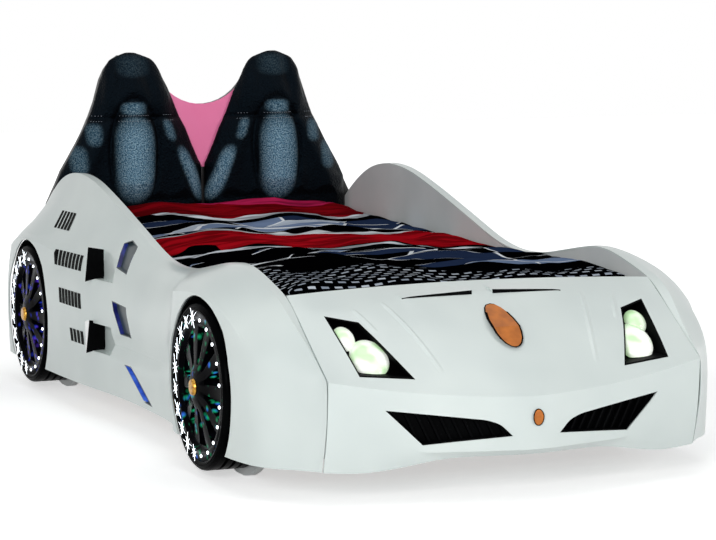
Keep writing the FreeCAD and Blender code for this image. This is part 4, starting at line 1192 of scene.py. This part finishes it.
ridges = new_piece("hood_ridges", fill_ridges, [gloss_abs])
ridges.data.shade_smooth()

# %% [markdown]
# ## Badges
# Two plain plates follow the nose where a maker's signs would be. Their front is
# inset, so that a dark rim stands round a copper field.

# %% Badges
BETWEEN_BADGES_Z = 0.27


def fill_badges(made):
    """Both plates, each with a rim whose width follows its size."""
    merged_copy(made, "nose_badges")
    for face in made.faces:
        face.normal_update()
        face.material_index = 1
    for upper, outwards, width in ((True, Vector((0, -0.6, 0.8)), 0.0035),
                                   (False, Vector((0, -1, 0)), 0.0018)):
        faces = [face for face in made.faces if face.normal.dot(outwards) > 0.45
                 and (face.calc_center_median().z > BETWEEN_BADGES_Z) == upper]
        bmesh.ops.inset_region(made, faces=faces, thickness=width, depth=-0.0008,
                               use_even_offset=True)
        for face in faces:
            face.material_index = 0


badges = new_piece("badge_plates", fill_badges, [badge_copper, black_gloss])
stands_for("nose_badges")

# %% [markdown]
# ## Studio
# A white floor and an even white room give the clean cut-out look of a
# catalogue picture. Camera rays see pure white, while the lamps and the dimmer
# room light the bed at a plain level, so the white shell keeps its shading.

# %% Floor, room and lamps
def rays_to_whiten(tree):
    """1 for the rays that must see pure white: those of the camera, of mirrors and of glass."""
    rays = add(tree, "LightPath")
    seen = add(tree, "Math", {0: rays.outputs["Is Camera Ray"],
                              1: rays.outputs["Is Transmission Ray"]}, operation="MAXIMUM")
    return add(tree, "Math", {0: seen, 1: rays.outputs["Is Glossy Ray"]}, operation="MAXIMUM")


floor_paint, tree, shader, place = begin("matte_white_floor")
set_inputs(tree, shader, {"Base Color": colour("#F4F4F4"), "Roughness": 0.9})
distance = add(tree, "VectorMath", {0: place}, operation="LENGTH")
strength = add(tree, "MapRange", {
    "Value": distance, "From Min": 1.2, "From Max": 3.5, "To Min": 0.55, "To Max": 1.0})
white = add(tree, "Emission", {"Color": colour("#FFFFFF"), "Strength": strength})
both = add(tree, "AddShader", {0: shader, 1: white})
glow = add(tree, "MixShader", {"Fac": rays_to_whiten(tree), 1: shader, 2: both})
set_inputs(tree, tree.nodes["Material Output"], {"Surface": glow})
floor_mesh = bpy.data.meshes.new("floor")
made = bmesh.new()
bmesh.ops.create_grid(made, x_segments=2, y_segments=2, size=14)
made.to_mesh(floor_mesh)
made.free()
floor_mesh.materials.append(floor_paint)
floor = bpy.data.objects.new("floor", floor_mesh)
bpy.context.collection.objects.link(floor)

world = bpy.data.worlds.new("studio")
bpy.context.scene.world = world
world.use_nodes = True
tree = world.node_tree
tree.nodes.clear()
room = add(tree, "Background", {"Color": colour("#E6ECEC"), "Strength": 0.27})
bright = add(tree, "Background", {"Color": colour("#FFFFFF"), "Strength": 1})
blend = add(tree, "MixShader", {"Fac": rays_to_whiten(tree), 1: room, 2: bright})
add(tree, "OutputWorld", {"Surface": blend})


def soft_box(name, place, aim, size, watts):
    """A square lamp that looks at a point."""
    data = bpy.data.lights.new(name, "AREA")
    data.size = size
    data.energy = watts
    lamp = bpy.data.objects.new(name, data)
    direction = Vector(place) - Vector(aim)
    lamp.matrix_world = (Matrix.Translation(place)
                         @ direction.to_track_quat("Z", "Y").to_matrix().to_4x4())
    bpy.context.collection.objects.link(lamp)


soft_box("front_left_box", (-3.6, -5.6, 2.2), (0, 0, 0.5), 2.0, 190)
soft_box("front_right_box", (3.8, -5.4, 2.4), (0, 0, 0.5), 2.0, 90)
soft_box("top_box", (0, -0.4, 4.4), (0, 0, 0.3), 2.4, 24)
soft_box("left_box", (-5.6, -0.6, 2.2), (0, 0, 0.4), 2.2, 15)
